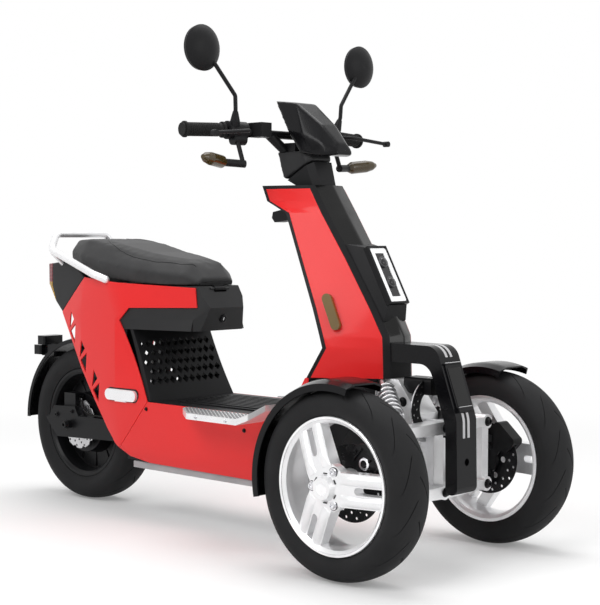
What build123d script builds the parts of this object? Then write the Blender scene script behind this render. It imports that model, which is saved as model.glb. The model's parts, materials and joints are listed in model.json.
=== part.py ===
from build123d import *
import os
from math import cos, radians, sin

# Electric tricycle with two leaning, steered front wheels and one driven rear wheel.
# Millimetres; X forward, Y left, Z up; the origin lies on the floor under the middle of the length.

# Wheels
wheelbase = 1300
base_wheelbase = 1300
track = 600
front_tyre_radius = 229
front_tyre_width = 110
rear_tyre_radius = 236.5
rear_tyre_width = 120
rear_guard_gap = 28.5
rear_overhang = rear_tyre_radius + rear_guard_gap
rim_seat_radius = 155
rim_seat_half = 40
rim_lip_radius = rim_seat_radius + 11
rim_lip = 7
rim_wall = 9
spoke_angles = (90, -30, 210)
spoke_half = 40
spoke_slot_half = 9
spoke_slot_start = 80
axle_radius = 12
running_gap = 0.2
hub_inner = -26
hub_outer = 66
hub_radius = 36
hub_flange_radius = 58
hub_cap = 14
disc_thickness = 4
front_disc_radius = 94
rear_disc_radius = 78
petal_radius = 9
petal_count = 12
motor_radius = 90
motor_half = 42
rear_disc_y = 58
disc_carrier_radius = 40
slit_count = 12
rim_web = (6, 26)
caliper_angle = 42
caliper_reach = 80

# Rings of holes in the discs: ring radius, holes, hole radius, start angle
front_disc_holes = ((50, 6, 8, 0), (70, 16, 3.5, 0), (84, 16, 3.5, 11))
rear_disc_holes = ((50, 12, 3, 0), (60, 12, 3, 10), (70, 12, 3, 20))
tilt_disc_holes = ((54, 16, 3, 0), (66, 16, 3, 11))

# Front knuckles, leaning linkage and mudguards
kingpin_offset = 65
kingpin_y = track / 2 - kingpin_offset
kingpin_radius = 9
kingpin_boss = 16
knuckle_ear = 18
upright_boss_half = 38
ear_gap = 8
guard_gap = 23
guard_radius = front_tyre_radius + guard_gap
guard_wall = 4
guard_half = 64
guard_skirt = 26
guard_front_angle = 15
guard_rear_angle = -102
beam_upper_z = 340
beam_lower_z = 180
pivot_boss = 19
arm_root_half = 16
arm_tip_half = 11
upright_half = 13
beam_x = (24, 70)
beam_half = kingpin_y - 47
casting_half = 40
nose_half = 40
nose_bend = 42
nose_foot = 183
tilt_disc_z = 386
tilt_disc_radius = 76
tilt_disc_inner = 44
tilt_disc_gap = 26
shock_radius = 21

# Column, from the top level down: height, front, rear, and half widths at front, band and rear edge
column_levels = (
    (946, -320, -468, 53, 67, 99),
    (905, -293, -446, 55, 69, 103),
    (873, -272, -374, 56, 70, 107),
    (752, -190, -316, 51, 66, 119),
    (629, -115, -254, 44, 60, 134),
    (560, -77, -225, 41, 57, 140),
    (531, -75, -213, 40, 57, 143),
    (455, -73, -246, 40, 57, 166),
)
band_depth = 11
rear_band = 9
top_rim = 9
panel_wall = 5
panel_rise = 1
front_panel_rise = 14
front_panel_ridge = 4

# Headlamp: foot and top of its back, on the column, and of its face, with the half widths there
lamp_back = (-93, 599, -212, 792)
lamp_back_halves = (43, 53)
lamp_face = (-82, 644, -158, 783)
lamp_face_halves = (34, 32)
lamp_root = 30
lamp_ring_half = 31
lamp_ring_tall = 76
lamp_ring_bar = 14
lamp_ring_rise = 4
lens_radius = 14
lens_offsets = (-21, 36)

# Steering axis and handlebar
steer_x = -365
steer_z = 950
steer_rake = 28
stem_radius = 18
collar_rise = 40
neck_gap = 5
bar_radius = 11
grip_radius = 17
grip_length = 128
grip_cap = 9
mirror_radius = 59
mirror_dome = 20
mirror_rim = 10

# Body envelope: half widths at five heights for a row of stations from the tail to the front
body_heights = (760, 578, 345, 215, 163)
body_stations = (
    (-1430, (72, 86, 86, 82, 70)),
    (-1180, (120, 146, 146, 140, 118)),
    (-1000, (142, 168, 168, 162, 138)),
    (-715, (62, 92, 168, 162, 138)),
    (-400, (144, 168, 168, 162, 138)),
    (-240, (144, 168, 168, 162, 138)),
)
skin_gap = 0.2
floor_z = 345
floor_thickness = 27
floor_front = -318
floor_middle = -500
floor_rear = -848
plate_thickness = 16
plate_corner = 34
mat_half = 112
mat_rise = 4
mat_rib = 3
mat_ribs = 9
mat_pitch = 23
tray_bottom = 146
tray_top = 165
seat_rest_z = 671.5
seat_gap = 0.5
pan_thickness = 8
pan_inset = 10
pan_lift = 1
hinge_x = -738
hinge_z = 664
hinge_radius = 6
hinge_pin_radius = 3.5
hinge_half = 20
hinge_notch_half = 24

# Lattice along the rear edge of the rear panels
lattice_low = (-1092, 316)
lattice_high = (-1298, 566)
lattice_count = 6
lattice_edge = 8
lattice_width = 50
lattice_bar = 4

# Grille in the inner panel
grille_rows = 5
grille_columns = 11
grille_pitch_y = 25
grille_pitch_z = 26
grille_half = 8.5

# Passenger footrests
rest_x = -966
rest_axis_y = 173
rest_axis_z = 341
rest_half_long = 67
rest_half_tall = 16
rest_thickness = 9
rest_barrel = 24
rest_barrel_radius = 4

SIDES = ((1, "left"), (-1, "right"))
front_axle_x = (wheelbase + rear_overhang - front_tyre_radius) / 2
rear_axle_x = front_axle_x - wheelbase
os.makedirs("parts", exist_ok=True)


def ahead(distance):
    """X of a point given from the front axle; behind the floor's middle it keeps its place to the rear axle."""
    if distance < floor_middle:
        return rear_axle_x + base_wheelbase + distance
    return front_axle_x + distance


def shifted(points):
    """Points given from the front axle, in the part's frame."""
    return [(ahead(x), *rest) for x, *rest in points]


def side_plane(y=0):
    """Upright plane along the vehicle: local x forward, local y up, normal to the right."""
    return Plane(origin=(0, y, 0), x_dir=(1, 0, 0), z_dir=(0, -1, 0))


def wheel_section(centre, out, angle=0):
    """Half section of a wheel: local x away from the axle, local y outwards along it.

    The angle leads from straight up towards the front.
    """
    turn = radians(angle)
    return Plane(
        origin=centre,
        x_dir=(sin(turn), 0, cos(turn)),
        z_dir=(-out * cos(turn), 0, out * sin(turn)),
    )


def slant_plane(foot_x, foot_z, top_x, top_z):
    """Plane across the vehicle from a foot to a top: origin at the foot, local x left, local y to the top."""
    return Plane(origin=(ahead(foot_x), 0, foot_z), x_dir=(0, 1, 0), z_dir=(top_z - foot_z, 0, foot_x - top_x))


def save(builder, name):
    """Labels a finished piece and writes it."""
    builder.part.label = name
    export_step(builder.part, f"parts/{name}.step")


def rod(start, end, radius):
    """Round bar between two points."""
    along = Vector(*end) - Vector(*start)
    with BuildPart() as piece:
        with BuildSketch(Plane(origin=start, z_dir=along)):
            Circle(radius)
        extrude(amount=along.length)
    return piece.part


def bent_tube(points, radius, bend):
    """Round bar along a line whose corners are rounded."""
    with BuildPart() as piece:
        with BuildLine() as path:
            FilletPolyline(*points, radius=bend)
        with BuildSketch(Plane(origin=path.line @ 0, z_dir=path.line % 0)):
            Circle(radius)
        sweep(path=path.line)
    return piece.part


def block(x0, x1, y0, y1, z0, z1):
    """Box between two corners."""
    with BuildPart() as piece:
        with BuildSketch(Plane.XY.offset(z0)):
            Polygon((x0, y0), (x1, y0), (x1, y1), (x0, y1), align=None)
        extrude(amount=z1 - z0)
    return piece.part


def level_loft(levels):
    """Straight-sided solid through outlines at a row of heights."""
    with BuildPart() as piece:
        for height, points in levels:
            with BuildSketch(Plane.XY.offset(height)):
                Polygon(*points, align=None)
        loft(ruled=True)
    return piece.part


def side_prism(points, half, centre_y=0):
    """Side outline carried the same distance to both sides."""
    with BuildPart() as piece:
        with BuildSketch(side_plane(centre_y)):
            Polygon(*points, align=None)
        extrude(amount=half, both=True)
    return piece.part


def body_skin(side, outline, wall):
    """Part of the body's skin inside a side outline, on one side of the vehicle."""
    with BuildPart() as skin:
        for station, halves in body_stations:
            outer = [(side * half, z) for half, z in zip(halves, body_heights)]
            inner = [(side * (half - wall), z) for half, z in zip(halves, body_heights)]
            with BuildSketch(Plane.YZ.offset(ahead(station))):
                Polygon(*outer, *reversed(inner), align=None)
        loft(ruled=True)
        with BuildSketch(side_plane()):
            Polygon(*shifted(outline), align=None)
        extrude(amount=300, both=True, mode=Mode.INTERSECT)
    return skin.part


def body_core(outline, inset):
    """Solid part of the body's envelope inside a side outline, set in from the skin."""
    with BuildPart() as core:
        for station, halves in body_stations:
            right = [(-(half - inset), z) for half, z in zip(halves, body_heights)]
            left = [(half - inset, z) for half, z in zip(halves, body_heights)]
            with BuildSketch(Plane.YZ.offset(ahead(station))):
                Polygon(*left, *reversed(right), align=None)
        loft(ruled=True)
        with BuildSketch(side_plane()):
            Polygon(*shifted(outline), align=None)
        extrude(amount=300, both=True, mode=Mode.INTERSECT)
    return core.part


def tyre(centre, radius, width):
    """Tyre with a round crown, full side walls and a bead on the rim's seat."""
    half = width / 2
    shoulder = radius - 20
    belly = (radius + rim_lip_radius) / 2
    bead = rim_lip_radius + 2
    with BuildPart() as ring:
        with BuildSketch(wheel_section(centre, 1)):
            with BuildLine():
                crown = ThreePointArc((shoulder, -half * 0.84), (radius, 0), (shoulder, half * 0.84))
                outer_wall = ThreePointArc(crown @ 1, (belly, half), (bead, rim_seat_half))
                seat = Polyline(
                    outer_wall @ 1,
                    (rim_seat_radius, rim_seat_half),
                    (rim_seat_radius, -rim_seat_half),
                    (bead, -rim_seat_half),
                )
                ThreePointArc(seat @ 1, (belly, -half), crown @ 0)
            make_face()
        revolve(axis=Axis(centre, (0, 1, 0)))
    return ring


def hole_rings(rings):
    """Rings of round holes cut out of the disc that is being drawn."""
    for ring_radius, count, hole_radius, start in rings:
        with PolarLocations(ring_radius, count, start_angle=start):
            Circle(hole_radius, mode=Mode.SUBTRACT)


def double_spoke(centre, out, angle):
    """Wide blade from the hub to the middle of the barrel's wall, slotted into two from half way out."""
    turn = radians(angle)
    face = Plane(origin=centre, x_dir=(sin(turn), 0, cos(turn)), z_dir=(0, 1, 0))
    reach = rim_seat_radius - rim_wall / 2
    slot_length = rim_lip_radius + spoke_slot_half - spoke_slot_start
    with BuildPart() as spoke:
        with BuildSketch(wheel_section(centre, out, angle)):
            Polygon(
                (hub_radius - 6, 30),
                (hub_radius - 6, 62),
                (hub_flange_radius, 60),
                (rim_seat_radius, 38),
                (rim_seat_radius, 12),
                align=None,
            )
        extrude(amount=spoke_half, both=True)
        with BuildSketch(face):
            with Locations((spoke_slot_start + slot_length / 2, 0)):
                SlotOverall(slot_length, 2 * spoke_slot_half)
        extrude(amount=track, both=True, mode=Mode.SUBTRACT)
        with BuildSketch(face):
            Circle(reach)
        extrude(amount=track, both=True, mode=Mode.INTERSECT)
    return spoke.part


def rim_barrel():
    """Half section of a rim's barrel with a lip at either side."""
    lip = rim_seat_half + rim_lip
    bore = rim_seat_radius - rim_wall
    return (
        (rim_seat_radius, -rim_seat_half),
        (rim_seat_radius, rim_seat_half),
        (rim_lip_radius, rim_seat_half),
        (rim_lip_radius, lip),
        (rim_lip_radius - 8, lip),
        (bore + 4, rim_seat_half),
        (bore, rim_seat_half - 20),
        (bore, -rim_seat_half + 20),
        (bore + 4, -rim_seat_half),
        (rim_lip_radius - 8, -lip),
        (rim_lip_radius, -lip),
        (rim_lip_radius, -rim_seat_half),
    )


# Front wheels, knuckles and mudguards
for side, hand in SIDES:
    hub = (front_axle_x, side * track / 2, front_tyre_radius)
    axle = Axis(hub, (0, 1, 0))
    section = wheel_section(hub, side)

    save(tyre(hub, front_tyre_radius, front_tyre_width), f"tyre_front_{hand}")

    # Cast rim: barrel, hub with a blind bore and a proud cap, three double spokes that slope out to the hub
    bore = axle_radius + running_gap
    with BuildPart() as rim:
        with BuildSketch(section):
            Polygon(*rim_barrel(), align=None)
            Polygon(
                (bore, hub_inner),
                (hub_radius, hub_inner),
                (hub_radius, 20),
                (hub_flange_radius, 34),
                (hub_flange_radius, 58),
                (hub_radius - 4, hub_outer),
                (hub_radius - 10, hub_outer + hub_cap),
                (0, hub_outer + hub_cap),
                (0, hub_outer),
                (bore, hub_outer),
                align=None,
            )
        revolve(axis=axle)
        for angle in spoke_angles:
            add(double_spoke(hub, side, angle))
    save(rim, f"rim_front_{hand}")

    # Brake disc on the hub's inner face
    with BuildPart() as disc:
        with BuildSketch(side_plane(side * (track / 2 + hub_inner))):
            with Locations((front_axle_x, front_tyre_radius)):
                Circle(front_disc_radius)
                Circle(bore + 4, mode=Mode.SUBTRACT)
                hole_rings(front_disc_holes)
        extrude(amount=side * disc_thickness)
    save(disc, f"disc_front_{hand}")

    # Knuckle: plate with the caliper's arm, caliper round the disc, two ears on the kingpin, stub axle
    plate_in = kingpin_y + kingpin_boss + 4
    plate_out = plate_in + 8
    ear_in = upright_boss_half + ear_gap
    ear_out = ear_in + knuckle_ear
    axle_z = front_tyre_radius
    disc_y = track / 2 + hub_inner - disc_thickness / 2
    lean = radians(caliper_angle)
    caliper_x = ahead(caliper_reach * sin(lean))
    caliper_z = axle_z + caliper_reach * cos(lean)
    with BuildPart() as knuckle:
        with BuildSketch(side_plane(side * plate_in)):
            with Locations((front_axle_x, axle_z)):
                Circle(42)
                Rectangle(56, 2 * ear_out)
            with Locations(((front_axle_x + caliper_x) / 2, (axle_z + caliper_z) / 2)):
                Rectangle(44, caliper_reach, rotation=-caliper_angle)
        extrude(amount=-side * (plate_out - plate_in))
        with BuildSketch(side_plane(side * plate_in)):
            with Locations((caliper_x, caliper_z)):
                RectangleRounded(78, 50, 12, rotation=-caliper_angle)
        extrude(amount=-side * (disc_y + 22 - plate_in))
        with BuildSketch(side_plane(side * (disc_y - 7))):
            with Locations((front_axle_x, axle_z)):
                Circle(front_disc_radius + 6)
        extrude(amount=-side * 14, mode=Mode.SUBTRACT)
        for low, high in ((ear_in, ear_out), (-ear_out, -ear_in)):
            with BuildSketch(Plane.XY.offset(axle_z + low)):
                Polygon(
                    (ahead(-kingpin_boss), side * kingpin_y),
                    (ahead(kingpin_boss), side * kingpin_y),
                    (ahead(26), side * plate_in),
                    (ahead(-26), side * plate_in),
                    align=None,
                )
                with Locations((front_axle_x, side * kingpin_y)):
                    Circle(kingpin_boss)
            extrude(amount=high - low)
        kingpin_low = (front_axle_x, side * kingpin_y, axle_z - ear_out)
        kingpin_high = (front_axle_x, side * kingpin_y, axle_z + ear_out)
        add(rod(kingpin_low, kingpin_high, kingpin_radius))
        stub_in = (front_axle_x, side * plate_in, axle_z)
        stub_out = (front_axle_x, side * (track / 2 + hub_outer - 2), axle_z)
        add(rod(stub_in, stub_out, axle_radius))
    save(knuckle, f"knuckle_{hand}")

    # Mudguard: creased shell round the tyre with a stay to the back of the knuckle's upper ear
    wall = guard_wall
    with BuildPart() as guard:
        with BuildSketch(wheel_section(hub, 1, guard_rear_angle)):
            Polygon(
                (guard_radius - guard_skirt, -guard_half),
                (guard_radius - 9, -guard_half),
                (guard_radius, -guard_half + 30),
                (guard_radius, guard_half - 30),
                (guard_radius - 9, guard_half),
                (guard_radius - guard_skirt, guard_half),
                (guard_radius - guard_skirt, guard_half - wall),
                (guard_radius - 9 - wall, guard_half - wall),
                (guard_radius - wall, guard_half - 30),
                (guard_radius - wall, -guard_half + 30),
                (guard_radius - 9 - wall, -guard_half + wall),
                (guard_radius - guard_skirt, -guard_half + wall),
                align=None,
            )
        revolve(axis=axle, revolution_arc=guard_front_angle - guard_rear_angle)
        stay_y = track / 2 - guard_half
        add(
            block(
                ahead(-guard_radius + 14),
                ahead(-6),
                side * (stay_y - 6),
                side * stay_y,
                axle_z + ear_in,
                axle_z + ear_out,
            )
        )
        add(knuckle.part, mode=Mode.SUBTRACT)
    save(guard, f"mudguard_front_{hand}")

# Rear wheel
rear_hub = (rear_axle_x, 0, rear_tyre_radius)
rear_axle = Axis(rear_hub, (0, 1, 0))
save(tyre(rear_hub, rear_tyre_radius, rear_tyre_width), "tyre_rear")
with BuildPart() as rear_rim:
    with BuildSketch(wheel_section(rear_hub, 1)):
        Polygon(*rim_barrel(), align=None)
        Polygon(
            (axle_radius + running_gap, -motor_half),
            (motor_radius, -motor_half),
            (motor_radius + 6, rim_web[0]),
            (rim_seat_radius - 4, rim_web[0]),
            (rim_seat_radius - 4, rim_web[1]),
            (motor_radius + 6, rim_web[1]),
            (motor_radius, motor_half),
            (axle_radius + running_gap, motor_half),
            align=None,
        )
    revolve(axis=rear_axle)
    for slit in range(slit_count):
        turn = radians(360 * slit / slit_count)
        slit_plane = Plane(origin=rear_hub, x_dir=(sin(turn), 0, cos(turn)), z_dir=(0, 1, 0))
        with BuildSketch(slit_plane):
            Polygon((motor_radius + 8, -2), (142, -6), (142, 6), (motor_radius + 8, 2), align=None)
        extrude(amount=40, both=True, mode=Mode.SUBTRACT)
save(rear_rim, "rim_rear")
with BuildPart() as rear_disc:
    with BuildSketch(side_plane(-rear_disc_y)):
        with Locations((rear_axle_x, rear_tyre_radius)):
            Circle(rear_disc_radius)
            Circle(axle_radius + 6, mode=Mode.SUBTRACT)
            hole_rings(rear_disc_holes)
            hole_rings(((rear_disc_radius + 4, petal_count, petal_radius, 15),))
    extrude(amount=disc_thickness)
    with BuildSketch(side_plane(-motor_half)):
        with Locations((rear_axle_x, rear_tyre_radius)):
            Circle(disc_carrier_radius)
            Circle(axle_radius + 6, mode=Mode.SUBTRACT)
    extrude(amount=rear_disc_y - motor_half)
save(rear_disc, "disc_rear")

# Swingarm with the rear axle, the pivot tube and the caliper
arm_in = 76
arm_out = 98
with BuildPart() as swingarm:
    for side, hand in SIDES:
        with BuildSketch(side_plane(side * arm_in)):
            Polygon(
                (rear_axle_x - 62, 194),
                (rear_axle_x + 250, 206),
                (ahead(-945), 215),
                (ahead(-945), 255),
                (rear_axle_x + 230, 266),
                (rear_axle_x + 42, 264),
                (rear_axle_x + 24, 293),
                (rear_axle_x - 78, 288),
                (rear_axle_x - 102, 256),
                (rear_axle_x - 118, 250),
                (rear_axle_x - 90, 219),
                align=None,
            )
        extrude(amount=-side * (arm_out - arm_in))
    add(rod((rear_axle_x, -arm_out - 14, rear_tyre_radius), (rear_axle_x, arm_out + 14, rear_tyre_radius), axle_radius))
    add(rod((ahead(-962), -112, 235), (ahead(-962), 112, 235), 20))
    add(block(ahead(-1040), ahead(-950), -arm_in, arm_in, 215, 255))
    caliper_in = rear_disc_y - 10
    slot_in = rear_disc_y - 5
    slot_out = rear_disc_y + disc_thickness + 5
    add(block(rear_axle_x - 46, rear_axle_x + 8, -arm_in - 6, -caliper_in, 286, 330))
    add(block(rear_axle_x - 48, rear_axle_x + 10, -slot_out, -slot_in, 270, 322), mode=Mode.SUBTRACT)
save(swingarm, "swingarm")

# Casting under the column: a wedge with a pivot boss for either arm
casting_side = (
    (-108, 455),
    (-50, 455),
    (beam_x[0] - 10, 372),
    (beam_x[0] - 10, 312),
    (beam_x[0], 304),
    (beam_x[0], 155),
    (-12, 155),
    (-40, 320),
    (-108, 400),
)
with BuildPart() as casting:
    add(side_prism(shifted(casting_side), casting_half))
    add(rod((ahead(0), 0, beam_upper_z), (ahead(beam_x[0]), 0, beam_upper_z), pivot_boss))
save(casting, "front_casting")

# Leaning linkage: two arms with a boss at the middle and at either end, uprights and kingpin bosses
pivot_y = beam_half - pivot_boss + 6
with BuildPart() as linkage:
    for height in (beam_upper_z, beam_lower_z):
        with BuildSketch(Plane.YZ.offset(ahead(beam_x[0]))):
            Polygon(
                (-pivot_y, height - arm_tip_half),
                (0, height - arm_root_half),
                (pivot_y, height - arm_tip_half),
                (pivot_y, height + arm_tip_half),
                (0, height + arm_root_half),
                (-pivot_y, height + arm_tip_half),
                align=None,
            )
            with Locations((-pivot_y, height), (0, height), (pivot_y, height)):
                Circle(pivot_boss)
        extrude(amount=beam_x[1] - beam_x[0])
    for side, hand in SIDES:
        with BuildSketch(Plane.YZ.offset(ahead(beam_x[0] + 8))):
            with Locations((side * pivot_y, (beam_lower_z + beam_upper_z) / 2)):
                Rectangle(2 * upright_half, beam_upper_z - beam_lower_z)
        extrude(amount=beam_x[1] - beam_x[0] - 16)
        with BuildSketch(Plane.XY.offset(front_tyre_radius - upright_boss_half)):
            Polygon(
                (ahead(-16), side * kingpin_y),
                (ahead(16), side * kingpin_y),
                (ahead(beam_x[0] + 26), side * (beam_half - 4)),
                (ahead(-16), side * (beam_half - 4)),
                align=None,
            )
            with Locations((front_axle_x, side * kingpin_y)):
                Circle(kingpin_boss)
                Circle(kingpin_radius + running_gap, mode=Mode.SUBTRACT)
        extrude(amount=2 * upright_boss_half)
    with BuildSketch(Plane.YZ.offset(ahead(beam_x[0]))):
        with Locations((0, (beam_lower_z + beam_upper_z) / 2)):
            Rectangle(2 * pivot_boss, beam_upper_z - beam_lower_z)
    extrude(amount=(beam_x[1] - beam_x[0]) / 2)
save(linkage, "tilt_linkage")

# Tilt-lock disc on the back of the upper arm, open below round the arm's pivot
with BuildPart() as tilt_disc:
    with BuildSketch(Plane.YZ.offset(ahead(beam_x[0] - disc_thickness))):
        with Locations((0, tilt_disc_z)):
            Circle(tilt_disc_radius)
            Circle(tilt_disc_inner, mode=Mode.SUBTRACT)
            hole_rings(tilt_disc_holes)
        with Locations((0, tilt_disc_z - tilt_disc_radius)):
            Rectangle(2 * tilt_disc_gap, 2 * tilt_disc_radius, mode=Mode.SUBTRACT)
    extrude(amount=disc_thickness)
save(tilt_disc, "tilt_disc")

with BuildPart() as tilt_caliper:
    with BuildSketch(Plane.YZ.offset(ahead(-40))):
        with Locations((0, 441)):
            RectangleRounded(60, 42, 9)
    extrude(amount=86)
    with BuildSketch(Plane.YZ.offset(ahead(beam_x[0] - disc_thickness - 0.5))):
        with Locations((0, tilt_disc_z)):
            Circle(tilt_disc_radius + 1)
    extrude(amount=disc_thickness + 1, mode=Mode.SUBTRACT)
    add(casting.part, mode=Mode.SUBTRACT)
save(tilt_caliper, "tilt_caliper")

# Column shell with the wall to the floor, the stem's bore and the bag hook
steer_axis = (-sin(radians(steer_rake)), 0, cos(radians(steer_rake)))
steer_plane = Plane(origin=(ahead(steer_x), 0, steer_z), x_dir=(0, 1, 0), z_dir=steer_axis)


neck_top = 1036


def column_outline(front, rear, front_half, band_half, rear_half):
    """Level outline of the column: flat front, band to either side, side faces, flat rear."""
    return (
        (ahead(front), -front_half),
        (ahead(front), front_half),
        (ahead(front - band_depth), band_half),
        (ahead(rear), rear_half),
        (ahead(rear), -rear_half),
        (ahead(front - band_depth), -band_half),
    )


def neck_body(cut, kept):
    """Block from the column's top to the bar's clamp, on one side of a plane across the steering axis."""
    with BuildPart() as body:
        add(
            level_loft(
                (
                    (
                        column_levels[0][0],
                        shifted(((-322, 30), (-340, 42), (-440, 42), (-440, -42), (-340, -42), (-322, -30))),
                    ),
                    (
                        neck_top,
                        shifted(((-350, 36), (-372, 50), (-460, 50), (-460, -50), (-372, -50), (-350, -36))),
                    ),
                )
            )
        )
        add(side_prism(shifted(((-385, 940), (-500, 940), (-500, 996))), 60), mode=Mode.SUBTRACT)
        split(bisect_by=steer_plane.offset(cut), keep=kept)
    return body.part


# Red panels let into the column's sides, a dark rim left free above and behind them
top_level, second_level = column_levels[:2]
share = top_rim / (top_level[0] - second_level[0])
panel_top = tuple(a + share * (b - a) for a, b in zip(top_level, second_level))
with BuildPart() as front_sides:
    for side, hand in SIDES:
        levels = []
        for height, front, rear, front_half, band_half, rear_half in (panel_top, *column_levels[1:]):
            start = front - band_depth
            slope = (rear_half - band_half) / (start - rear)
            end_half = rear_half - slope * rear_band
            outline = (
                (ahead(start), side * (band_half - panel_wall)),
                (ahead(rear + rear_band), side * (end_half - panel_wall)),
                (ahead(rear + rear_band), side * (end_half + panel_rise)),
                (ahead(start), side * (band_half + panel_rise)),
            )
            levels.append((height, outline))
        add(level_loft(levels))
save(front_sides, "front_side_panels")

bag_hook = ((-366, 890), (-366, 862), (-440, 856), (-500, 850), (-510, 862), (-506, 878), (-440, 890))
with BuildPart() as column:
    add(level_loft([(height, column_outline(*rest)) for height, *rest in column_levels]))
    add(
        level_loft(
            (
                (455, shifted(((-112, 84), (-244, 84), (-244, -84), (-112, -84)))),
                (160, shifted(((-255, 84), (-316, 84), (-316, -84), (-255, -84)))),
            )
        )
    )
    add(
        level_loft(
            (
                (455, shifted(((-236, 162), (-246, 162), (-246, -162), (-236, -162)))),
                (floor_z, shifted(((-306, 162), (floor_front, 162), (floor_front, -162), (-306, -162)))),
                (tray_top, shifted(((-308, 133), (floor_front, 133), (floor_front, -133), (-308, -133)))),
            )
        )
    )
    add(side_prism(shifted(bag_hook), 20))
    add(neck_body(collar_rise, Keep.BOTTOM))
    with BuildSketch(steer_plane.offset(-90)):
        Circle(stem_radius + running_gap)
    extrude(amount=160, mode=Mode.SUBTRACT)
    add(front_sides.part, mode=Mode.SUBTRACT)
save(column, "column_shell")

# Nose beam from the column's front over the linkage and down before it, with a raised panel and a tow hole
nose_outer = ((-110, 545), (70, 544), (133, 368), (136, 204))
nose_inner = ((100, 204), (99, 350), (48, 498), (-110, 498))
nose_panel = (127, 388, 86, 500)
nose_panel_half = 30
nose_panel_rise = 3
nose_hole_z = 262
with BuildPart() as nose:
    with BuildSketch(side_plane()):
        with BuildLine():
            over = FilletPolyline(*shifted(nose_outer), radius=nose_bend)
            under = FilletPolyline(*shifted(nose_inner), radius=nose_bend)
            ThreePointArc(over @ 1, (ahead(118), nose_foot), under @ 0)
            Line(under @ 1, over @ 0)
        make_face()
    extrude(amount=nose_half, both=True)
    panel_tall = ((nose_panel[0] - nose_panel[2]) ** 2 + (nose_panel[1] - nose_panel[3]) ** 2) ** 0.5
    with BuildSketch(slant_plane(*nose_panel).offset(-nose_panel_rise)):
        with Locations((0, panel_tall / 2)):
            RectangleRounded(2 * nose_panel_half, panel_tall, 6)
    extrude(amount=2 * nose_panel_rise)
    with BuildSketch(Plane.YZ.offset(ahead(126))):
        with Locations((0, nose_hole_z)):
            Circle(9)
    extrude(amount=30, mode=Mode.SUBTRACT)
    add(column.part, mode=Mode.SUBTRACT)
save(nose, "nose_beam")

# Shock absorbers beside the casting
with BuildPart() as shocks:
    for side, hand in SIDES:
        top = Vector(ahead(-108), side * 40, 461)
        foot = Vector(ahead(38), side * (pivot_y - 26), beam_upper_z + arm_tip_half)
        run = foot - top
        add(rod(tuple(top), tuple(foot), 9))
        add(rod(tuple(top + run * 0.28), tuple(top + run * 0.84), shock_radius))
    for neighbour in (linkage, casting, column, front_sides):
        add(neighbour.part, mode=Mode.SUBTRACT)
save(shocks, "front_shocks")

# Gloss panel along the column's front
with BuildPart() as front_panel:
    add(
        level_loft(
            [
                (
                    height,
                    (
                        (ahead(front), -front_half),
                        (ahead(front + front_panel_rise), -front_panel_ridge),
                        (ahead(front + front_panel_rise), front_panel_ridge),
                        (ahead(front), front_half),
                    ),
                )
                for height, front, rear, front_half, *others in column_levels[:-1]
            ]
        )
    )
    add(nose.part, mode=Mode.SUBTRACT)
save(front_panel, "front_panel")

# Headlamp: housing, light ring and dark lens panel with two round lenses
face_tall = ((lamp_face[0] - lamp_face[2]) ** 2 + (lamp_face[1] - lamp_face[3]) ** 2) ** 0.5
back_tall = ((lamp_back[0] - lamp_back[2]) ** 2 + (lamp_back[1] - lamp_back[3]) ** 2) ** 0.5
face_plane = slant_plane(*lamp_face)
back_plane = slant_plane(*lamp_back)
with BuildPart() as housing:
    for plane, halves, tall in (
        (back_plane.offset(-lamp_root), lamp_back_halves, back_tall),
        (back_plane, lamp_back_halves, back_tall),
        (face_plane, lamp_face_halves, face_tall),
    ):
        foot_half, top_half = halves
        with BuildSketch(plane):
            Polygon((-foot_half, 0), (foot_half, 0), (top_half, tall), (-top_half, tall), align=None)
    loft(ruled=True)
    add(column.part, mode=Mode.SUBTRACT)
    add(front_panel.part, mode=Mode.SUBTRACT)
    add(front_sides.part, mode=Mode.SUBTRACT)
save(housing, "headlamp_housing")

opening_half = lamp_ring_half - lamp_ring_bar
opening_tall = lamp_ring_tall - lamp_ring_bar
with BuildPart() as lamp_ring:
    with BuildSketch(face_plane):
        with Locations((0, face_tall / 2)):
            RectangleRounded(2 * lamp_ring_half, 2 * lamp_ring_tall, 6)
            Rectangle(2 * opening_half, 2 * opening_tall, mode=Mode.SUBTRACT)
    extrude(amount=lamp_ring_rise)
save(lamp_ring, "headlamp_ring")

with BuildPart() as lamp_lens:
    with BuildSketch(face_plane):
        with Locations((0, face_tall / 2)):
            Rectangle(2 * opening_half, 2 * opening_tall)
    extrude(amount=lamp_ring_rise / 2)
    with BuildSketch(face_plane.offset(lamp_ring_rise / 2)):
        for offset in lens_offsets:
            with Locations((0, face_tall / 2 + offset)):
                Circle(lens_radius)
    extrude(amount=lamp_ring_rise)
save(lamp_lens, "headlamp_lens")

# Amber reflectors on the red column panels
with BuildPart() as reflectors:
    for side, hand in SIDES:
        seat = Plane(origin=(ahead(-202), side * 121, 622), x_dir=(0.41, 0, -0.91), z_dir=(0.3, side * 0.95, 0.135))
        with BuildSketch(seat.offset(-8)):
            SlotOverall(98, 25)
        extrude(amount=12)
    add(column.part, mode=Mode.SUBTRACT)
    add(front_sides.part, mode=Mode.SUBTRACT)
save(reflectors, "side_reflectors")

# Neck over the stem, handlebar with risers
with BuildPart() as neck:
    add(neck_body(collar_rise + neck_gap, Keep.TOP))
    with BuildSketch(steer_plane.offset(-80)):
        Circle(stem_radius)
    extrude(amount=140)
save(neck, "neck")

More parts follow.
